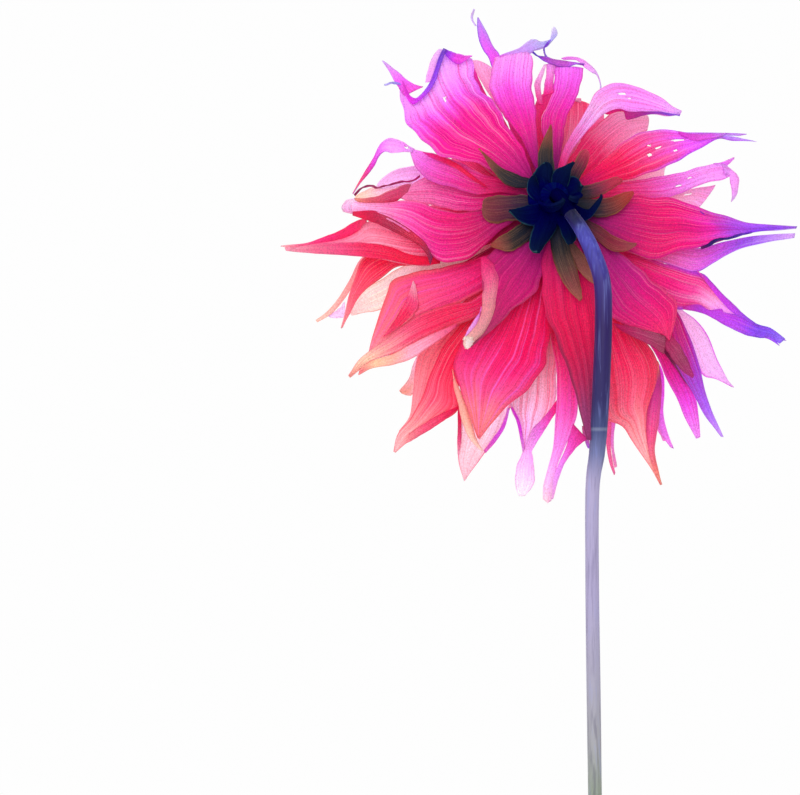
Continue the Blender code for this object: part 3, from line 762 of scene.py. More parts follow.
              "900a54 d00c58 f40c50 f41060 f41c70 f43c90 f464bc f498e0 f8c8f0 fce0d8", rim="f090f0",
              end=[(-2, -107.4)], streak_share=0.3),
        flap(2, [(7, -79), (5, -87), (2, -94), (-0.4, -100), (-1, -106)],
             [(12.4, -84.6), (8.6, -87.6), (5, -92), (2.4, -97.6), (0, -106)],
             "e04094 f068c8 f09cec f2b4f0 f4c4e0", off=(0.5, 0.9)),
        flap(2, [(10.4, -80), (11, -84), (12.6, -88)],
             [(13, -80), (13, -84), (13, -88)],
             "c05878 d070b0 a078e0", off=(0.9, 0.9)),
    ],
    "petal_19": [
        sheet(3, [(-9, -38), (-13, -58), (-15, -73), (-12.8, -79), (-11.4, -86), (-10.6, -88.6)],
              [(2, -38), (1.6, -58), (1.2, -72), (-3, -79), (-6.6, -84.6), (-9, -88.8)],
              "a00a54 e82068 f47094 f8acbc fbd4d8 fae0ec f0b8ee", vein="f05888", vein_share=0.8,
              streak_share=0.6, pleat=0.35, rim="f070c0"),
        flap(3, [(1.4, -70.6), (-3, -76.6), (-7, -81), (-9.6, -86), (-11, -90), (-12.8, -95),
                 (-13.3, -100.6), (-11.8, -105)],
             [(1, -75), (-2, -79.6), (-5, -84.6), (-7.6, -88.8), (-7.3, -91), (-6.6, -96), (-7, -101),
              (-10, -105)],
             "f01c78 f060c0 f090e4 f4b4f4 f8c8fa fad8fa fce8fa fef4fc", off=(-0.6, -1.2), rim="f0a0f0",
             streak_share=0.6, cup=0.3, tip=2.0),
        flap(3, [(-15, -73.6), (-13, -78), (-11.6, -84), (-10.8, -89)],
             [(-14.4, -73.2), (-12, -78), (-10.8, -84), (-10.2, -88)],
             "f060e0 e84cf0 f0a0f4", off=(-0.6, -0.8)),
    ],
    "petal_20": [
        sheet(1, [(-8, -15), (-16, -28), (-24, -40), (-31, -49), (-34.6, -56), (-35.2, -61), (-33, -67),
                  (-30.6, -73), (-28.6, -79), (-26.6, -84.4)],
              [(2, -18), (0, -32), (-1, -46), (-1.4, -56), (-4.4, -61), (-8.4, -66), (-13, -70),
               (-17.6, -74.6), (-22, -79.6), (-26.2, -84.6)],
              "800a54 b00a58 d4085c ec085c f4085c f41068 f43080 f46494 f89090 f8907c", rim="e83c5c",
              cup=0.12, pleat=0.4, vein="e00850", streak="f070e0", streak_share=0.75, streak_from=0.46),
        flap(1, [(-35.6, -60), (-35, -66), (-33.5, -72), (-32.2, -78), (-29.8, -84), (-27, -87.4),
                 (-25, -89)],
             [(-35, -63), (-31.6, -70), (-29.4, -76.4), (-27.8, -82.4), (-26.4, -86), (-25, -88.4)],
             "f49888 f8b49c f8c0a0 fcd0b0 fcdcc0", off=(0.4, 0.9), streak_share=0.4),
    ],
    "petal_21": [
        sheet(4, [(-20, -45), (-30, -62), (-33.8, -73), (-33.4, -80), (-33.8, -86), (-33.4, -93),
                  (-31.4, -99.6)],
              [(-10, -50), (-13, -66), (-15.4, -73.6), (-17, -80), (-20, -85), (-24, -89.6), (-28, -94.6),
               (-31, -99)],
              "a80a50 f04078 f8b0c0 fbdce4 fce8ec fce8e8 fce4dc f8d0cc", rim="f05a94", rim_share=0.9,
              rim_width=0.08, streak_share=0.5, vein="f8a0b8"),
        flap(4, [(-15.4, -73.6), (-17, -80), (-20, -85), (-24, -89.6)],
             [(-16, -73.6), (-18, -79.4), (-21, -84), (-24.6, -88.6)],
             "f0a0f0 ee70f0 ee68ec f080c8", off=(-0.5, -0.9)),
        flap(4, [(-33.4, -73.4), (-33.6, -80), (-33.8, -86), (-33.6, -90)],
             [(-32.6, -73.4), (-32.4, -80), (-32.6, -86), (-33.3, -90)],
             "e81058 f02864 f46090 f8b0c0", off=(-0.5, -0.9)),
    ],
    "petal_22": [
        sheet(0, [(-8, -10), (-15, -15), (-21, -18.6), (-25, -22), (-25.2, -28), (-24.6, -36), (-26, -43),
                  (-29.6, -50.6)],
              [(-2.6, -14), (-3.2, -25), (-7, -33), (-13, -38), (-18.6, -43.4), (-24, -48), (-29, -52)],
              "600c50 980c68 c41074 d81074 d81c70 c03868 b85870", cup=0.12, pleat=0.3, rim="c04870",
              rim_share=0.6, vein="a00c5c", vein_share=0.45, streak="e85890", streak_share=0.35,
              bow=-1.2),
        flap(0, [(-24.4, -20.6), (-20.4, -24), (-18, -29), (-19.2, -35), (-21.4, -41.6), (-24.4, -47),
                 (-28, -50.4), (-31.2, -53.2)],
             [(-25.6, -21.2), (-25.4, -27), (-25, -32), (-25.2, -38), (-26.4, -43), (-28.6, -46.6),
              (-31.4, -49.4), (-32, -52)],
             "f02c74 f04880 f46c90 f48c9c f49c9c f0a4a4 ecb4a4 f4e4cc", off=(-1.6, -2.8), cup=0.6,
             rim="e06880", rim_share=0.4, pleat=0.25, streak_share=0.6, streak="f8d8cc"),
        flap(0, [(-25.6, -38), (-26.4, -43), (-28.6, -47), (-31.4, -50)],
             [(-25, -39), (-27.6, -42.4), (-30, -46), (-31.6, -49.6)],
             "f070c8 f0a0e8 f4b8f0 e890e8", off=(-1.0, -1.2)),
        flap(0, [(-31.8, -49), (-31.6, -51.4), (-30.6, -53.6)],
             [(-28.6, -49.4), (-28.6, -51), (-29.6, -53)],
             "f0dcc0 fcf0e0 f4e8d0", off=(-2.6, -2.6), rag=0.16, pleat=0.3, rim="fcf4e4"),
    ],
    "petal_23": [
        sheet(2, [(-16, -22), (-26, -36), (-36, -48), (-42, -58), (-46, -68), (-50, -77), (-53.6, -81),
                  (-55.4, -84), (-56.4, -89.2)],
              [(-10, -26), (-20, -42), (-30, -57), (-34, -67), (-33.6, -73.6), (-40, -78.6),
               (-46.4, -82.6), (-52, -86), (-56, -89.5)],
              "900a50 d00a4c f00c50 f41050 f41050 f42458 f4687c f8a8a0 fcd0c4", rim="f03c64",
              rim_share=0.8, pleat=0.4, vein="f02c54", vein_share=0.6, streak_share=0.45),
        sheet(3, [(-24, -28), (-38, -42), (-47, -53), (-48.8, -60), (-49.4, -67), (-50.6, -76),
                  (-54.6, -82)],
              [(-20, -30), (-33, -46), (-40, -56), (-43, -65), (-46, -73), (-49.6, -78.4), (-53.6, -82)],
              "900a50 f0306c f46084 f4788c f89498 f8a4a4 f8bcb0", rim="f05c74", streak_share=0.4),
        flap(2, [(-33.8, -73.2), (-40, -76), (-46, -79.6), (-51, -83)],
             [(-33.6, -74), (-40, -79), (-46.4, -83), (-51.6, -86)],
             "e8104c f03c64 f46078 f89c98", off=(-1.2, -0.8)),
    ],
    "petal_24": [
        sheet(5, [(-26, -28), (-42, -46), (-49, -57), (-51, -63), (-53.6, -66.4), (-54.4, -67.6)],
              [(-24, -32), (-40, -50), (-47, -62), (-50, -69), (-53.6, -68.6)],
              "b00a50 f46888 f8c0d0 fbe0ec f8dce8 f0b090", rim="f0a090"),
    ],
    "petal_25": [
        sheet(1, [(-14, -20), (-22, -30), (-29, -35.4), (-36, -36.4), (-42, -38), (-48.6, -41.2),
                  (-55, -45.2), (-60, -49), (-65, -53.4), (-69, -57), (-72.4, -62.4)],
              [(-10, -24), (-18, -34), (-26, -40), (-34, -43.6), (-41, -46.4), (-48, -49.6), (-55, -53.4),
               (-61, -55.4), (-65, -57), (-68.6, -60), (-72, -62.8)],
              "800a50 c80a5c ec0c6c f41078 f41468 f01c58 f43464 f46480 f8a0a0 f8dcb4 f0a490",
              rim="f49ab0", rim_share=0.5, rim_width=0.14, cup=0.5, pleat=0.3, vein="d0083c",
              vein_share=0.5, streak_share=0.2, solid_row=3),
        flap(1, [(-34, -43.6), (-42, -47), (-50, -50.6), (-56, -54), (-63, -56.4), (-68, -58.6)],
             [(-34, -44.6), (-40, -49), (-46, -53), (-50.6, -56), (-57, -58), (-64, -59.2), (-69, -61.6)],
             "f04878 f4809c f8a8b8 f8b8c0 f8c0a4 f8d8a4 f08c80", off=(0.4, 0.8), streak_share=0.6,
             rim="f49080", vein="f06080"),
    ],
    "petal_26": [
        sheet(1, [(-16, -16), (-30, -21), (-44, -24.6), (-52, -25.6), (-57.4, -28), (-59, -32),
                  (-60.6, -38), (-63, -45), (-65.4, -54)],
              [(-14, -20), (-26, -32), (-38, -38), (-46, -42), (-52, -46), (-58, -50), (-64.6, -54)],
              "800a50 c80a58 ec0c6c f42878 f44c84 f46484 f87c84 f88888 f8a8a4", rim="f06c74",
              rim_share=0.8, rim_width=0.14, pleat=0.3, streak="e858e0", streak_share=0.6,
              streak_from=0.45, off=(0.4, 1.0)),
        flap(1, [(-49.6, -28.6), (-51, -33), (-53.6, -38), (-57, -43.6), (-60.4, -48.6)],
             [(-48.8, -30), (-48, -34), (-48, -38.6), (-52, -43), (-57.6, -47)],
             "f8c0c8 f45880 f42054 f02850 f45c78", off=(-0.2, 0.3), rim="f8b0c0", rim_share=0.8,
             cup=0.15),
    ],
    "petal_27": [
        sheet(2, [(-20, -8), (-42, -14), (-58, -17.6), (-66.6, -20), (-70, -27), (-72.4, -34),
                  (-73.6, -40), (-75, -45.6)],
              [(-18, -12), (-38, -20), (-50, -22.6), (-56, -23.6), (-62, -28), (-66.8, -31.6),
               (-69.4, -35), (-71.6, -39.6), (-74.6, -45.2)],
              "800a50 c80a50 ee0c48 f01440 f01c44 ee2848 f46c74 f4a8a0", rim="f08080", pleat=0.3,
              streak_share=0.3),
    ],
    "petal_28": [
        sheet(5, [(-30, -17), (-44, -22), (-52, -23), (-60, -27), (-66, -31), (-69.4, -35), (-71.8, -40)],
              [(-28, -20), (-42, -26), (-50, -31), (-57, -37), (-63, -39.2), (-67, -39.8),
               (-71.6, -40.8)],
              "a80a50 f46888 f8c0c0 fbdcd0 fceadc fdf0d8 fbe0d0", rim="f07868", rim_share=0.7,
              rim_width=0.06, streak_share=0.6, vein="f8b8b8"),
    ],
    "petal_29": [
        sheet(4, [(-26, -8), (-46, -13), (-62, -16.6), (-68, -21), (-71.6, -28), (-75.6, -34.4),
                  (-80, -39.6), (-84, -42.6)],
              [(-24, -11), (-44, -16), (-60, -19.6), (-67, -23), (-70, -28), (-73.6, -34), (-78.4, -40),
               (-83.6, -43.3)],
              "a00a50 e02058 f03c60 f06074 f48890 f4a8a8 f8c4b0 f8dcbc", rim="f06c7c"),
        flap(4, [(-74, -36), (-77, -39), (-80, -41)],
             [(-73.6, -41), (-76, -41.6), (-79, -41.6)],
             "f4e0f8 f0d8f6", off=(0.5, 0.5)),
    ],
    "petal_30": [
        sheet(1, [(-18, -8), (-34, -10), (-50, -9.4), (-60, -7.6), (-66, -7.8), (-69, -11), (-74, -13.6),
                  (-82, -15), (-90, -16.6), (-95, -17)],
              [(-16, -12), (-30, -18), (-42, -22.4), (-50, -22.6), (-58, -21), (-66, -19.9), (-74, -19.4),
               (-82, -18.9), (-90, -18.4), (-94.6, -17.8)],
              "800a50 c00a54 e80c54 f02060 f45480 f88ca4 f8a4b4 f48ca4 f4749c f8b4bc", rim="f45080",
              pleat=0.3, vein="f01c4c", streak_share=0.5),
        flap(1, [(-40, -20.6), (-50, -19.6), (-58, -16.8), (-66, -15.4), (-74, -15.4), (-82, -15.8),
                 (-92, -17.3)],
             [(-40, -22.6), (-50, -22.8), (-58, -21.2), (-67, -20), (-76, -19.3), (-86, -18.8),
              (-93.4, -18)],
             "f00c44 f00c3c f01044 f02858 f05c84 f48098 f8a8b4", off=(-0.8, 0.1), streak_share=0.0,
             cup=0.2),
        flap(1, [(-66, -6.4), (-70, -7.4), (-75, -10.4), (-80, -12.5), (-87, -15), (-96.5, -16.1)],
             [(-66, -8), (-69, -11), (-73, -13), (-78, -14), (-84, -15.5), (-93, -17)],
             "f46880 f03c70 ee2868 ee2c78 f04484 f4809c f8c0b8", off=(0.2, 0.8), cup=0.4,
             streak_share=0.15),
    ],
    "petal_31": [
        sheet(0, [(-17, -2), (-27, -4.4), (-36, -4.2), (-44, -2.4), (-51, -0.4), (-58, -1), (-64, -1.6),
                  (-69, -1.2), (-72, -0.2), (-74, -1.6)],
              [(-16, -9), (-26, -18), (-36, -22), (-43, -20), (-48, -15), (-54, -10.4), (-59, -7.4),
               (-65, -5.6), (-70, -5), (-74.4, -4)],
              "600a50 a00c60 c40c6c dc0c6c e80c78 ee2490 f460b0 f890c0 f8b4d8 fae0f0", end=[(-75, -2.8)],
              rim="f06898", rim_share=0.3, cup=0.12, pleat=0.4, vein="e00c58", vein_share=0.5,
              streak_share=0.3, bow=-1.4),
        flap(0, [(-71, -4.8), (-65, -4.2), (-61, -4.6), (-57.4, -5.2), (-56.4, -7), (-52, -9.8),
                 (-48.6, -12.6), (-45, -16), (-42.6, -20.6)],
             [(-71, -5.4), (-66, -7), (-61, -8.4), (-56, -11), (-51, -13.6), (-47, -16.2), (-44.6, -19),
              (-43.4, -22.6)],
             "f04060 e82850 d82850 c82c50 c02448 d81040 e00c44 c01444 8a1850", off=(-1.4, 0.2), cup=0.5,
             vein="801838", vein_share=0.5, streak_share=0.0, rim="a01c44"),
        flap(0, [(-70.6, 0.4), (-73, 0), (-74.6, -2), (-74, -4)],
             [(-69.4, -1), (-71, -1.4), (-71.6, -3), (-70.4, -5)],
             "f8d8ec fae4f4 f8d4f0 f4b8d8", off=(-0.2, -0.9)),
    ],
    "petal_32": [
        sheet(2, [(-17, 3), (-27, 6), (-36, 9), (-42, 9.4), (-48, 7), (-52, 4)],
              [(-17, -1), (-28, -3.6), (-40, -2), (-48, -0.6), (-54, 0.6)],
              "800a5c d80c78 f40c84 f43c9c f468b0 f488bc f498c0", end=[(-53.6, 2.4)], rim="f0609c",
              pleat=0.4, streak_share=0.4),
        flap(0, [(-50.3, 5), (-54, 5), (-58, 3.6), (-62, 1.4), (-66, 0.5), (-70.4, 0.3)],
             [(-51.4, 2.4), (-54, 0.6), (-58, -0.8), (-62, -1.4), (-66, -1.6), (-70, -0.6)],
             "c85c70 d84c70 e05074 e86070 e87874 f0a080", off=(-1.0, -1.0), cup=0.9, rim="c03c58",
             rim_share=0.6, vein="a03048"),
        flap(3, [(-50, 8), (-58, 5.6), (-64, 4.6), (-67, 3.4), (-70.2, 1.4)],
             [(-50, 3), (-58, 2), (-63, 0.8), (-67, 0.6), (-70, 0.9)],
             "f8b0d0 f8c4dc f8d8dc fae4cc f8e4b8", off=(0.5, 0.5), cup=0.1),
        # a thin dark line along the upper margin: painted shade where the sheets overlap
        flap(2, [(-47, 8.2), (-50, 6.6), (-54, 6.2), (-58, 5.2), (-60.4, 4.6), (-62, 4), (-64, 5),
                 (-67, 4.4), (-70.4, 1.6)],
             [(-47, 7.6), (-50, 6.1), (-54, 5.6), (-58, 4.7), (-60.4, 4.1), (-62.4, 3.5), (-64, 4.4),
              (-67, 3.7), (-70, 1)],
             "c82c74 b83464 a82c58 b04068 901850", off=(-0.8, -0.8), cup=0.0, rag=0.4, vein="701040",
             streak_share=0.0),
    ],
    "petal_33": [
        sheet(3, [(-20, 5), (-36, 11), (-46, 12.4), (-52, 12.4), (-57, 10.4), (-61, 7), (-62.6, 4.4)],
              [(-20, 1), (-36, 3), (-46, 4), (-54, 4.4), (-60, 4)],
              "900a5c e02c90 f070c8 f4a4e8 f4bcf2 f6ccf4 f8d8f4", end=[(-62, 4)], rim="f4c0f0",
              streak_share=0.6),
    ],
    "petal_34": [
        sheet(1, [(-16, 6.6), (-26, 9.6), (-34, 14), (-40, 16), (-45, 16.8), (-50.4, 18)],
              [(-16, 2.6), (-26, 2.4), (-36, 5), (-43, 7), (-48, 11), (-50.4, 16.4)],
              "900a5c d00c60 ec0c70 f03898 f058b8 ec78d4 f4a4ec", rim="e858c8", pleat=0.4, cup=0.2,
              vein="d00c78", streak_share=0.4),
        flap(1, [(-24, 5), (-32, 11), (-38, 14.4), (-46, 16.6)],
             [(-23, 3.6), (-30, 8), (-36, 11.6), (-44, 15)],
             "d80848 f40c4c f41464 f030a0", off=(-1.0, -0.8), cup=0.2, streak_share=0.0),
        flap(1, [(-49, 18), (-51.6, 19.4), (-53.4, 21), (-57, 22.4), (-60, 21.4), (-61.8, 19.4),
                 (-64, 14.6), (-67, 9.6), (-71, 2.2)],
             [(-50, 16.6), (-53, 16.8), (-57, 16.9), (-60, 17.1), (-62, 15), (-63.4, 12), (-65.6, 9),
              (-68, 6), (-70.8, 1.8)],
             "e8b8ee f2a8f2 f4b4f2 f0b0f4 ee80f0 e850d4 f04c98 f06c80 f0a090", off=(0.2, -0.6), cup=0.4,
             rim="c060e8", rim_share=0.7, holes=((0.1, -0.2, 0.03, 0.5),)),
    ],
}

# ---- the green parts -------------------------------------------------------
# Outer lobes: green in life, painted near-black navy as the shade of the backlit bloom; the pale teal rim
# is their own green painted as light catching the edges.
NAVY_PAINTED_SHADE = dict(
    rim="60a498", rim_width=0.08, rim_share=0.14, vein="000028", vein_share=0.5, streak="103058",
    streak_share=0.12, thin=0.0, rough=0.6, gloss=0.0,
)
OLIVE = dict(
    rim="c08050", rim_width=0.10, rim_share=0.4, vein="0c1020", vein_share=0.45, streak="c89468",
    streak_share=0.25, thin=0.35, rough=0.45,
)


def lobe(a, b, **more):
    """A fleshy outer lobe, its tip curling away from the bloom, its green painted near-black navy as
    shade.
    """
    facts = dict(claw=False, cup=0.5, along=40, across=15, pleat=0.0, wave=0.1, rag=0.02, tip=-2.5)
    facts.update(NAVY_PAINTED_SHADE, off=(-0.2, 0.2))
    facts.update(more)
    return sheet("lobe", a, b, "010134 020238 030834 06122e 0a1c2c", **facts)


def hood(a, b):
    """A steep lobe which rises beside the stem and leans over its neck; its knots are polar."""
    return dict(lobe(a, b, cup=0.3, tip=-3.0, polar=True, rim_share=0.0), row="hood")


def tongue(a, b, hues="040824 081428 0e1e28 363428 8a5038 a84c34", **more):
    """A thin papery inner leaf, brown towards its tip, its base painted near black as shade round the
    bloom's centre.
    """
    facts = dict(cup=0.35, along=48, across=15, pleat=0.12, wave=0.25, rag=0.03)
    facts.update(OLIVE)
    facts.update(more)
    return sheet("tongue", a, b, hues, **facts)


BRACTS = {
    "outer_bract_1": [
        lobe([(-3, 1), (-6.6, 3), (-7.6, 6), (-6.6, 9.4), (-4.6, 12), (-3.4, 12.8)],
             [(1, 1), (0, 4), (-0.6, 7), (-0.3, 10), (-1.2, 12.2), (-3.2, 12.9)]),
    ],
    "outer_bract_2": [
        lobe([(-1.4, 1), (-0.8, 5), (-0.2, 8.6), (1.4, 10.6), (4, 11.4), (7, 12.9)],
             [(3, 1), (5, 5), (5.8, 8), (6.0, 10.2), (6.6, 11.6), (7.2, 12.9)]),
        lobe([(1, 1), (3.4, 6), (5.4, 8.6), (7.6, 8.4), (9.4, 6.6), (10.4, 4.2)],
             [(3, -1), (5.4, 0.2), (7.4, 0.8), (9, 1.9), (10, 3), (10.5, 4.1)], off=(0.6, 0.6)),
    ],
    "outer_bract_3": [
        lobe([(3, -1), (7, -1.6), (10, -3), (12.4, -3.8), (14.6, -2.2), (17.4, 0.9)],
             [(4, -5), (8, -7), (11.4, -6.8), (14, -5.2), (15.8, -2.8), (17.5, 0.6)]),
        hood([(-2, -14), (-8, -8), (-20, -3), (-40, -0.5), (-58, -0.5)],
             [(-36, -14), (-37, -9), (-42, -5), (-52, -2.5), (-60, -1.5)]),
    ],
    "outer_bract_4": [
        lobe([(-3, -1), (-6.6, 0.6), (-8.8, 3), (-9, 6), (-8.2, 7.8), (-7.5, 8.4)],
             [(-2, 2), (-4, 4), (-5.4, 5.8), (-6.4, 7.4), (-7, 8.1), (-7.4, 8.4)]),
    ],
    "outer_bract_5": [
        lobe([(-4, -3), (-6.2, -8), (-7.6, -13), (-8.2, -16.6), (-7.6, -19), (-6, -20)],
             [(2.4, -4), (1.4, -8), (-0.6, -12), (-3, -15.4), (-4.4, -18), (-5.8, -20.1)]),
        lobe([(1, -5), (2.6, -9), (3.8, -13), (5, -16.4)],
             [(5, -5), (7, -9), (8, -12.6), (7, -16)], off=(0.8, 0.8)),
        hood([(-158, -14), (-148, -8), (-128, -2), (-100, 0.5), (-80, 0.8)],
             [(-112, -14), (-108, -9), (-98, -5.5), (-86, -3), (-76, -1)]),
    ],
    "outer_bract_6": [
        lobe([(-3, -1), (-7, -1.4), (-11, -2.6), (-14, -4), (-16.2, -4.8)],
             [(-2, -6), (-6.6, -8.2), (-11, -7.6), (-14, -6.2), (-16.2, -5)], off=(0.4, 0.4)),
    ],
    # each inner leaf's hues start near black at the base: painted shade round the bloom's centre
    "inner_bract_1": [
        tongue([(-8, 4), (-12, 4.4), (-17, 6), (-21, 10), (-23.6, 14), (-26.2, 18)],
               [(-7, 7), (-11.6, 8.8), (-17.6, 11.4), (-22.6, 15), (-26.3, 18.3)]),
    ],
    "inner_bract_2": [
        tongue([(-4.6, 9), (-5.4, 14), (-4.4, 19), (-2.7, 23), (-1, 26.4)],
               [(0.4, 9), (0.2, 15), (-0.2, 20), (-0.2, 24), (-0.7, 26.7)]),
    ],
    "inner_bract_3": [
        tongue([(5, 7), (7, 12), (9, 16), (11, 17.9), (12.3, 17.2)],
               [(8, 6), (10, 9), (11.7, 12), (12.8, 15.4), (12.6, 17)],
               "0a0c28 1c1028 6a1838 b02848 d84c60"),
    ],
    "inner_bract_4": [
        tongue([(8, 4.4), (13, 5.4), (18, 6.9), (22, 8), (24.5, 7.2)],
               [(9, 0), (14, 1), (18, 2.5), (22, 5), (24.6, 6.8)],
               "040824 0c1c28 382430 883044 c02848 d03450"),
        tongue([(9, 0), (15, 0.2), (20, 0.8), (25, 2.2), (28.2, 2.8)],
               [(10, -4.5), (16, -5.9), (22, -4.8), (26, -1.5), (28.6, 2)],
               "040824 0c1c28 302430 78342c a83c2c c03c38", off=(-1.0, -0.6)),
    ],
    "inner_bract_5": [
        tongue([(10, -6), (16, -9), (22, -13), (27, -15), (29.6, -15.5)],
               [(12, -11), (17, -15), (21, -17.6), (26, -17.7), (29.4, -16.2)],
               "0a0c28 2c1028 6a1030 8a1030 a03040 a05048"),
    ],
    "inner_bract_6": [
        tongue([(4.4, -11), (6.4, -18), (8.2, -24), (9.7, -30), (10.2, -35)],
               [(-0.8, -12), (0.3, -20), (2.4, -26), (6, -32), (9.8, -35.6)],
               "0a1428 0c2030 2a3028 604834 904c40 a86448"),
        tongue([(5, -12), (8.4, -16), (12.4, -21), (14.8, -27), (15.2, -29)],
               [(3, -14), (5, -18), (7.5, -22), (11, -26.4), (14.6, -29.2)],
               "0a1428 2a2828 704834 985844 b47454", off=(0.6, 0.9)),
    ],
    "inner_bract_7": [
        tongue([(-9, -6.5), (-14, -10), (-18, -12.4), (-21.8, -15.6)],
               [(-6, -11), (-10, -15), (-15, -17.7), (-19, -17), (-22.2, -16.4)]),
    ],
    "inner_bract_8": [
        tongue([(-9, 1.7), (-15, 1.8), (-20, 1.7), (-24, 0.7), (-25, -2)],
               [(-9, -6), (-15, -6.6), (-20, -7.6), (-24, -6), (-25, -3)],
               "0a0c28 141430 401c38 7a3038 94503c"),
    ],
}

# ---- every sheet becomes geometry and a skin --------------------------------
SHAPE_WORDS = (
    "row", "a", "b", "end", "off", "bow", "tip", "cup", "pleat", "wave", "waves", "rag", "claw", "polar",
    "along", "across",
)
SKIN_WORDS = (
    "hues", "rim", "rim_width", "rim_share", "vein", "vein_share", "streak", "streak_share",
    "streak_from", "hair_share", "thin", "rough", "gloss",
)
SHEET_SEED, PETAL_SEED, BRACT_SEED = 0.19, 0.37, 0.41  # how far one's patterns are from the next's


def grow(node, title, sheets, seed, thick):
    """One petal or leaf: its sheets as one piece, each with a skin of its own."""
    grids, skins = [], []
    for i, facts in enumerate(sheets):
        own = seed + i * SHEET_SEED
        shape = {word: facts[word] for word in SHAPE_WORDS if word in facts}
        looks = {word: facts[word] for word in SKIN_WORDS if word in facts}
        grids.append((*petal_grid(seed=own, **shape), facts.get("holes", ())))
        skins.append(petal_skin("%s_skin_%d" % (title, i + 1), seed=own, **looks))
    piece = thicken(mesh_of(title, grids), thick)
    for skin in skins:
        piece.data.materials.append(skin)
    settle(piece, node)


for number, (name, sheets) in enumerate(PETALS.items()):
    grow(name, name + "_bloom", sheets, number * PETAL_SEED, PETAL_THICK)
for number, (name, sheets) in enumerate(BRACTS.items()):
    outer = name.startswith("outer")
    thick = LOBE_THICK if outer else TONGUE_THICK
    grow(name, name + "_leaf", sheets, number * BRACT_SEED, thick)


# ---- the stem ----------------------------------------------------------------
STEM_RADIUS = 3.0
STEM_RINGS = 220
STEM_SIDES = 40
STEM_PATH = [  # x, y, z and thickness factor
    (0, -6, 8.2, .80), (0, 5.2, 66, .80), (0, 13.6, 112, .80), (-.3, 18.4, 160, .80), (-.8, 20, 205, .80),
    (-.8, 19.6, 240, .82), (.8, 18.6, 254, .92), (1.7, 17.6, 267, .98), (2.3, 16.2, 282, 1),
    (2.8, 15.4, 298, 1), (2.4, 15.8, 313, 1), (-.8, 18, 323.6, .96), (-4.5, 21.6, 331.6, .86),
    (-8.1, 25, 337.2, .78), (-10.8, 26.6, 341.9, .76), (-12.7, 29.3, 344.3, .76),
    (-13.1, 32.5, 343.5, .76),
]
STEM_HUES_AND_SHADE = [  # height and colour: the stem's own green and purple, partly painted shade, darker from about 250 mm up and near black at the neck, under the bloom
    (0, "5c7c44"), (118, "6c8058"), (150, "8c8c90"), (205, "948cac"), (243, "948cac"), (253, "5c6088"),
    (262, "343c68"), (272, "221c50"), (298, "200e4c"), (314, "2c2068"), (326, "3c3a94"), (331, "38388c"),
    (334.5, "14144c"), (337, "02022c"),
]
STEM_MARK = 262.0  # height of the thin pale ring
NECK_FOOT = 336.5  # the stem is painted near black, as shade under the bloom, and dull above this height
HUE_TOP = 360.0  # height at the end of the band of hues


def stem_grids():
    """A tube along the path, its radius times one plus ribs, which are cosines of the angle, and a
    slow swell, which is a sine along it; both ends close to a point. Its neck is a sheet of its own."""
    path = through(STEM_PATH, STEM_RINGS)
    ahead = unit(np.gradient(path[:, :3], axis=0))
    aside = unit(np.cross(ahead, [1.0, 0.0, 0.0]))
    third = np.cross(ahead, aside)
    u, s = grid(STEM_RINGS, STEM_SIDES, closed=True)
    angle = (s + 1.0) * math.pi
    ribs = 0.022 * np.cos(7.0 * angle + 3.0 * u) + 0.012 * np.cos(13.0 * angle)
    swell = 0.02 * np.sin(23.0 * u) * np.cos(2.0 * angle)
    radius = STEM_RADIUS * path[:, 3:] * (1.0 + ribs + swell)
    radius[[0, -1]] = 0.0
    radius[[1, -2]] *= 0.93
    spoke = np.cos(angle)[..., None] * aside[:, None] + np.sin(angle)[..., None] * third[:, None]
    tube = path[:, None, :3] + radius[..., None] * spoke
    tube[1] += path[0, :3] + 0.02 * ahead[0] - path[1, :3]
    tube[-2] += path[-1, :3] - 0.02 * ahead[-1] - path[-2, :3]
    neck = int(np.argmax(path[:, 2] > NECK_FOOT))
    return [(tube[at], u[at], s[at], ()) for at in (slice(neck + 1), slice(neck, None))]


def stem_skin():
    """Purple skin: hues by height, darkened towards the bloom as painted shade, dark and pale streaks
    along it, a thin pale ring and soft down.
    """
    skin = Finish("stem_skin_purple")
    spot = skin.coordinates("Object")
    up = skin.parts(spot)[2]
    drift = skin.noise(spot, (160.0, 160.0, 30.0))
    streaks = skin.noise(spot, (900.0, 900.0, 40.0), rough=0.6)
    height = skin.times(up, 1.0 / (HUE_TOP * MM))
    height = skin.math("ADD", height, skin.scaled(drift, 0.02, -0.01))
    colour = skin.band(height, [(z / HUE_TOP, tone(code)) for z, code in STEM_HUES_AND_SHADE])
    # pale streaks fade out towards the neck, so that its painted shade stays dark
    below_neck = skin.between(height, 338.0 / HUE_TOP, 332.0 / HUE_TOP)
    dark = skin.times(skin.between(streaks, 0.52, 0.68), 0.35)
    pale = skin.times(skin.between(streaks, 0.46, 0.32), skin.times(below_neck, 0.22))
    off_mark = skin.math("ABSOLUTE", skin.scaled(up, 0.1 / MM, -0.1 * STEM_MARK))
    mark = skin.times(skin.between(off_mark, 0.09, 0.02), 0.2)
    for share, code in ((dark, "241848"), (pale, "7c88c8"), (mark, "a8b0c0")):
        colour = skin.over(share, colour, tone(code))
    skin.feed(colour, skin.shader.inputs["Base Color"])
    skin.set(Roughness=0.42, Specular_IOR_Level=0.2, Sheen_Weight=0.2, Sheen_Roughness=0.25)
    skin.set(Sheen_Tint=(0.45, 0.55, 1.0, 1.0))
    skin.relief(streaks, 0.5, 0.0004)
    return skin.material


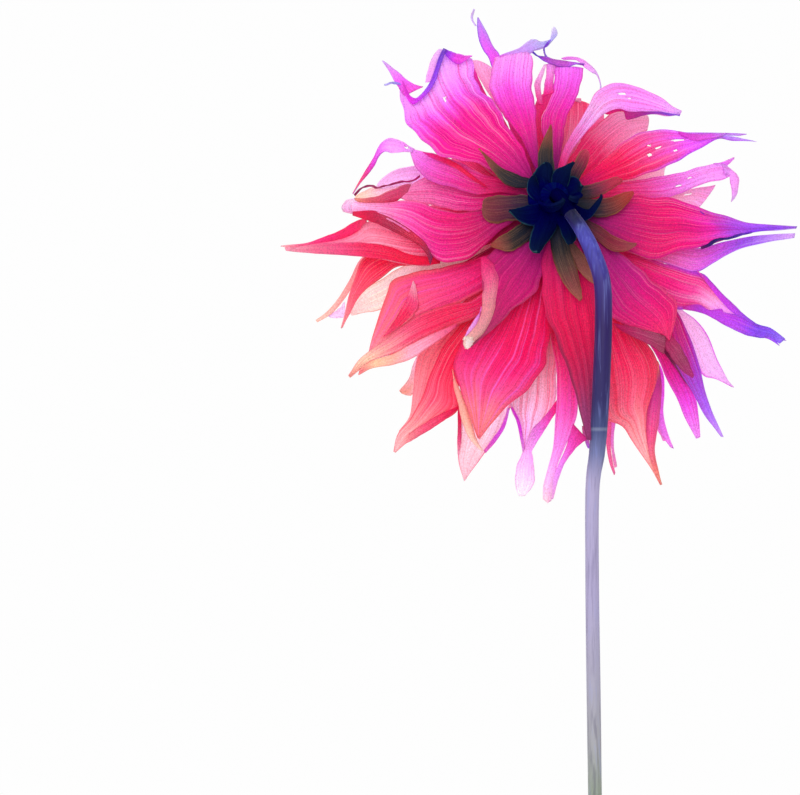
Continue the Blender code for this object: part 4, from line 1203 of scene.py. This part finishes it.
def painted_shade_navy(name, hues, shade, vein, streak, seed):
    """Painted shade: the near black skin of the stem's neck and of the cushion which the petals grow from,
    dark as the shade of the backlit bloom.
    """
    return petal_skin(
        name, hues.split(), rim=shade, vein=vein, vein_share=0.5, streak=streak, streak_share=0.15,
        thin=0.0, rough=0.6, gloss=0.0, seed=seed,
    )


stem = mesh_of("stem_stalk", stem_grids(), wrap=True, weld=True)
stem.data.materials.append(stem_skin())
# the neck's near-black skin is painted shade under the bloom
stem.data.materials.append(
    painted_shade_navy("stem_neck_painted_shade", "02022c 020232 02022c", "02022c", "000018", "0c1c38", 6.3))
settle(stem, "stem")


# ---- receptacle, jar and water, each a profile of (radius, height) swept round ---
JAR_SIDES = 96
RECEPTACLE = [
    (0, 13.2), (7, 13), (8.7, 12), (9, 9), (9, 1.5), (8.4, -.4), (6.6, -1), (5.4, -1.4), (5, -3.6),
    (4.4, -4.6), (0, -4.9),
]
JAR_OUTSIDE = [
    (19.2, 118), (21, 117), (21.4, 115.2), (20.8, 113.2), (20.2, 111.6), (20.2, 106), (22, 101.5),
    (28.6, 96), (33.4, 88.5), (35, 81), (35, 45), (35, 9), (34, 4), (31.6, .9), (30, 0), (15, 0), (0, 0),
]
JAR_INSIDE = [
    (0, 5), (14, 5), (26, 5), (30.2, 7), (32.4, 12), (32.4, 45), (32.4, 80.6), (30.8, 87.4), (26.2, 94),
    (19.8, 99.6), (18, 105.4), (18, 116.8), (19.2, 118),
]
WATER = [
    (0, 5.1), (14, 5.1), (25.9, 5.1), (30.0, 7.1), (32.25, 12), (32.25, 40), (32.25, 71.0), (32.2, 72.4),
    (31.7, 71.9), (30.6, 71.5), (28, 71.4), (14, 71.4), (0, 71.4),
]


def turned_round(profile, count, cols, place):
    """A profile swept round: place gives the point for each radius, angle and height."""
    line = through(profile, count)
    line[:, 0] = np.where(line[:, 0] < 0.02, 0.0, line[:, 0])
    u, s = grid(count, cols, closed=True)
    radius = np.repeat(line[:, :1], cols, 1)
    height = np.repeat(line[:, 1:], cols, 1)
    return place(radius, (s + 1.0) * math.pi, height), u, s, ()


def upright(radius, angle, height):
    """Round the jar's own upright axis."""
    return np.stack([radius * np.cos(angle), radius * np.sin(angle), np.maximum(height, 0.0)], -1)


def clear_skin(name, bend, low, high, scale):
    """A clear solid: its bend of light, and a faint tint which drifts between two colours."""
    skin = Finish(name)
    drift = skin.noise(skin.coordinates("Object"), (scale, scale, scale * 0.4))
    tint = skin.band(drift, [(0.35, tone(low)), (0.65, tone(high))])
    skin.feed(tint, skin.shader.inputs["Base Color"])
    skin.feed(skin.math("MULTIPLY_ADD", drift, 0.05, -0.005, clamp=True), skin.shader.inputs["Roughness"])
    skin.set(Transmission_Weight=1.0, IOR=bend)
    skin.relief(drift, 0.25, 0.0006)
    return skin.material


cushion = mesh_of("receptacle_dome", [turned_round(RECEPTACLE, 60, 64, bloom_point)], wrap=True, weld=True)
# the cushion's near-black navy is painted shade of the backlit bloom
cushion.data.materials.append(painted_shade_navy(
    "receptacle_painted_shade", "081018 040830 020238 02023c 020240 02023c", "020238", "000020", "0c3038", 5.1))
settle(cushion, "receptacle")

jar_walls = [
    turned_round(JAR_OUTSIDE, 110, JAR_SIDES, upright), turned_round(JAR_INSIDE, 100, JAR_SIDES, upright),
]
jar = mesh_of("jar_of_glass", jar_walls, wrap=True, weld=True)
glass = clear_skin("jar_clear_glass", 1.5, "ecf4f0", "f8fcfb", 45.0)
for wall in jar_walls:
    jar.data.materials.append(glass)
settle(jar, "jar")

water = mesh_of("jar_water", [turned_round(WATER, 90, JAR_SIDES, upright)], wrap=True, weld=True)
water.data.materials.append(clear_skin("water_clear", 1.33, "e6f0ec", "f2f8f6", 30.0))
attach(water, "root")

# ---- the heart: a spiral of small florets -----------------------------------
FLORETS = 84
FLORET_ROWS = 36
GOLDEN_TURN = 137.508 * RAD


def floret_grids():
    """Each floret starts on a spiral, turned from the last by the golden angle, and is a strip whose
    slope changes along it, so its middle line is the running sum of short steps at that slope. It is
    bent across into an arc, tighter in the inner florets, and its width is a sine of u."""
    turn = np.arange(FLORETS)[:, None, None]
    share = (turn / (FLORETS - 1.0)) ** 0.8
    u, s = grid(FLORET_ROWS, 9)
    slope = 88.0 - 46.0 * share - 14.0 * share * ease(u, 0.0, 0.45)
    slope = (slope + (34.0 - 40.0 * share) * ease(u, 0.5, 1.0)) * RAD
    step = (15.0 + 48.0 * share) / (FLORET_ROWS - 1.0)
    radius = 0.6 + 8.2 * share + (np.cumsum(np.cos(slope), 1) - np.cos(slope[:, :1])) * step
    height = 13.4 - share + (np.cumsum(np.sin(slope), 1) - np.sin(slope[:, :1])) * step
    azimuth = np.broadcast_to(turn * GOLDEN_TURN, slope.shape)
    half = 0.5 * (5.0 + 11.0 * share) * np.sin(math.pi * (0.08 + 0.92 * u) ** 1.25) + 0.05
    arc = (70.0 - 30.0 * share) * RAD * ease(u, 0.0, 0.3) + 0.01
    sideways = half * np.sin(arc * s) / arc
    inward = half * (1.0 - np.cos(arc * s)) / arc
    beside = np.cos(azimuth)[..., None] * UP - np.sin(azimuth)[..., None] * RIGHT
    facing = np.cos(slope)[..., None] * FACE - np.sin(slope)[..., None] * spoke_at(azimuth)
    middle = bloom_point(radius, azimuth, height)
    florets = middle + sideways[..., None] * beside + inward[..., None] * facing
    return [(floret, u, s, ()) for floret in florets]


heart = thicken(mesh_of("heart_florets", floret_grids()), PETAL_THICK)
heart.data.polygons.foreach_set("material_index", np.zeros(len(heart.data.polygons), np.int32))
# the florets' deep base hue is partly their own colour, partly painted shade inside the bloom's centre
heart.data.materials.append(
    petal_skin("heart_skin", "7a0c50 c80c60 e81068 f43c84 f488b0".split(), rim="f49ab0", seed=3.3))
settle(heart, "heart")


# ---- light, floor, camera ---------------------------------------------------
WHITE_ROOM = (0.99, 0.99, 0.99, 1.0)
FLOOR_RADIUS = 6.0
FLOOR_DROP = 0.0004
LAMP_SIDE = 1.2


def pale_floor():
    """A round floor just under the jar, which melts into the white room with distance."""
    around = np.linspace(0.0, TURN, 96, endpoint=False)
    x, y = FLOOR_RADIUS * np.cos(around), FLOOR_RADIUS * np.sin(around)
    rim = np.stack([x, y, np.full(96, -FLOOR_DROP)], -1)
    mesh = bpy.data.meshes.new("floor")
    mesh.from_pydata(rim.tolist(), [], [list(range(96))])
    floor = bpy.data.objects.new("floor", mesh)
    bpy.context.scene.collection.objects.link(floor)
    skin = Finish("floor_pale")
    skin.set(Base_Color=(0.9, 0.9, 0.9, 1.0), Roughness=0.8)
    far = skin.nodes.new("ShaderNodeVectorMath")
    far.operation = "LENGTH"
    skin.feed(skin.coordinates("Object"), far.inputs[0])
    glow = skin.nodes.new("ShaderNodeEmission")
    glow.inputs[0].default_value = WHITE_ROOM
    share = skin.between(far.outputs["Value"], 0.35, 0.9)
    skin.blend_shaders(share, skin.shader.outputs[0], glow.outputs[0])
    mesh.materials.append(skin.material)


def lamp(name, place, aim_at, power):
    """A square lamp that the camera does not see, turned to shine at a point."""
    data = bpy.data.lights.new(name, "AREA")
    data.size = LAMP_SIDE
    data.energy = power
    ob = bpy.data.objects.new(name, data)
    ob.location = place
    ob.rotation_euler = (Vector(aim_at) - Vector(place)).to_track_quat("-Z", "Y").to_euler()
    ob.visible_camera = False
    bpy.context.scene.collection.objects.link(ob)


pale_floor()
world = bpy.data.worlds.new("studio")
bpy.context.scene.world = world
world.use_nodes = True
world.node_tree.nodes["Background"].inputs[0].default_value = WHITE_ROOM
world.node_tree.nodes["Background"].inputs[1].default_value = 1.0
lamp("back_glow", (-0.25, 1.5, 0.85), (0.0, 0.06, 0.33), 24.0)
lamp("room_fill", (-0.35, -1.15, 0.75), (0.0, 0.04, 0.33), 12.0)

camera_data = bpy.data.cameras.new("camera")
camera = bpy.data.objects.new("camera", camera_data)
bpy.context.scene.collection.objects.link(camera)
camera.location = (EYE * MM).tolist()
camera.rotation_euler = (math.pi / 2.0, 0.0, 0.0)
camera_data.sensor_width = 36.0
camera_data.lens = camera_data.sensor_width * (CENTRE[1] - EYE[1]) / VIEW_WIDTH
bpy.context.scene.camera = camera
bpy.context.scene.view_settings.view_transform = "Standard"
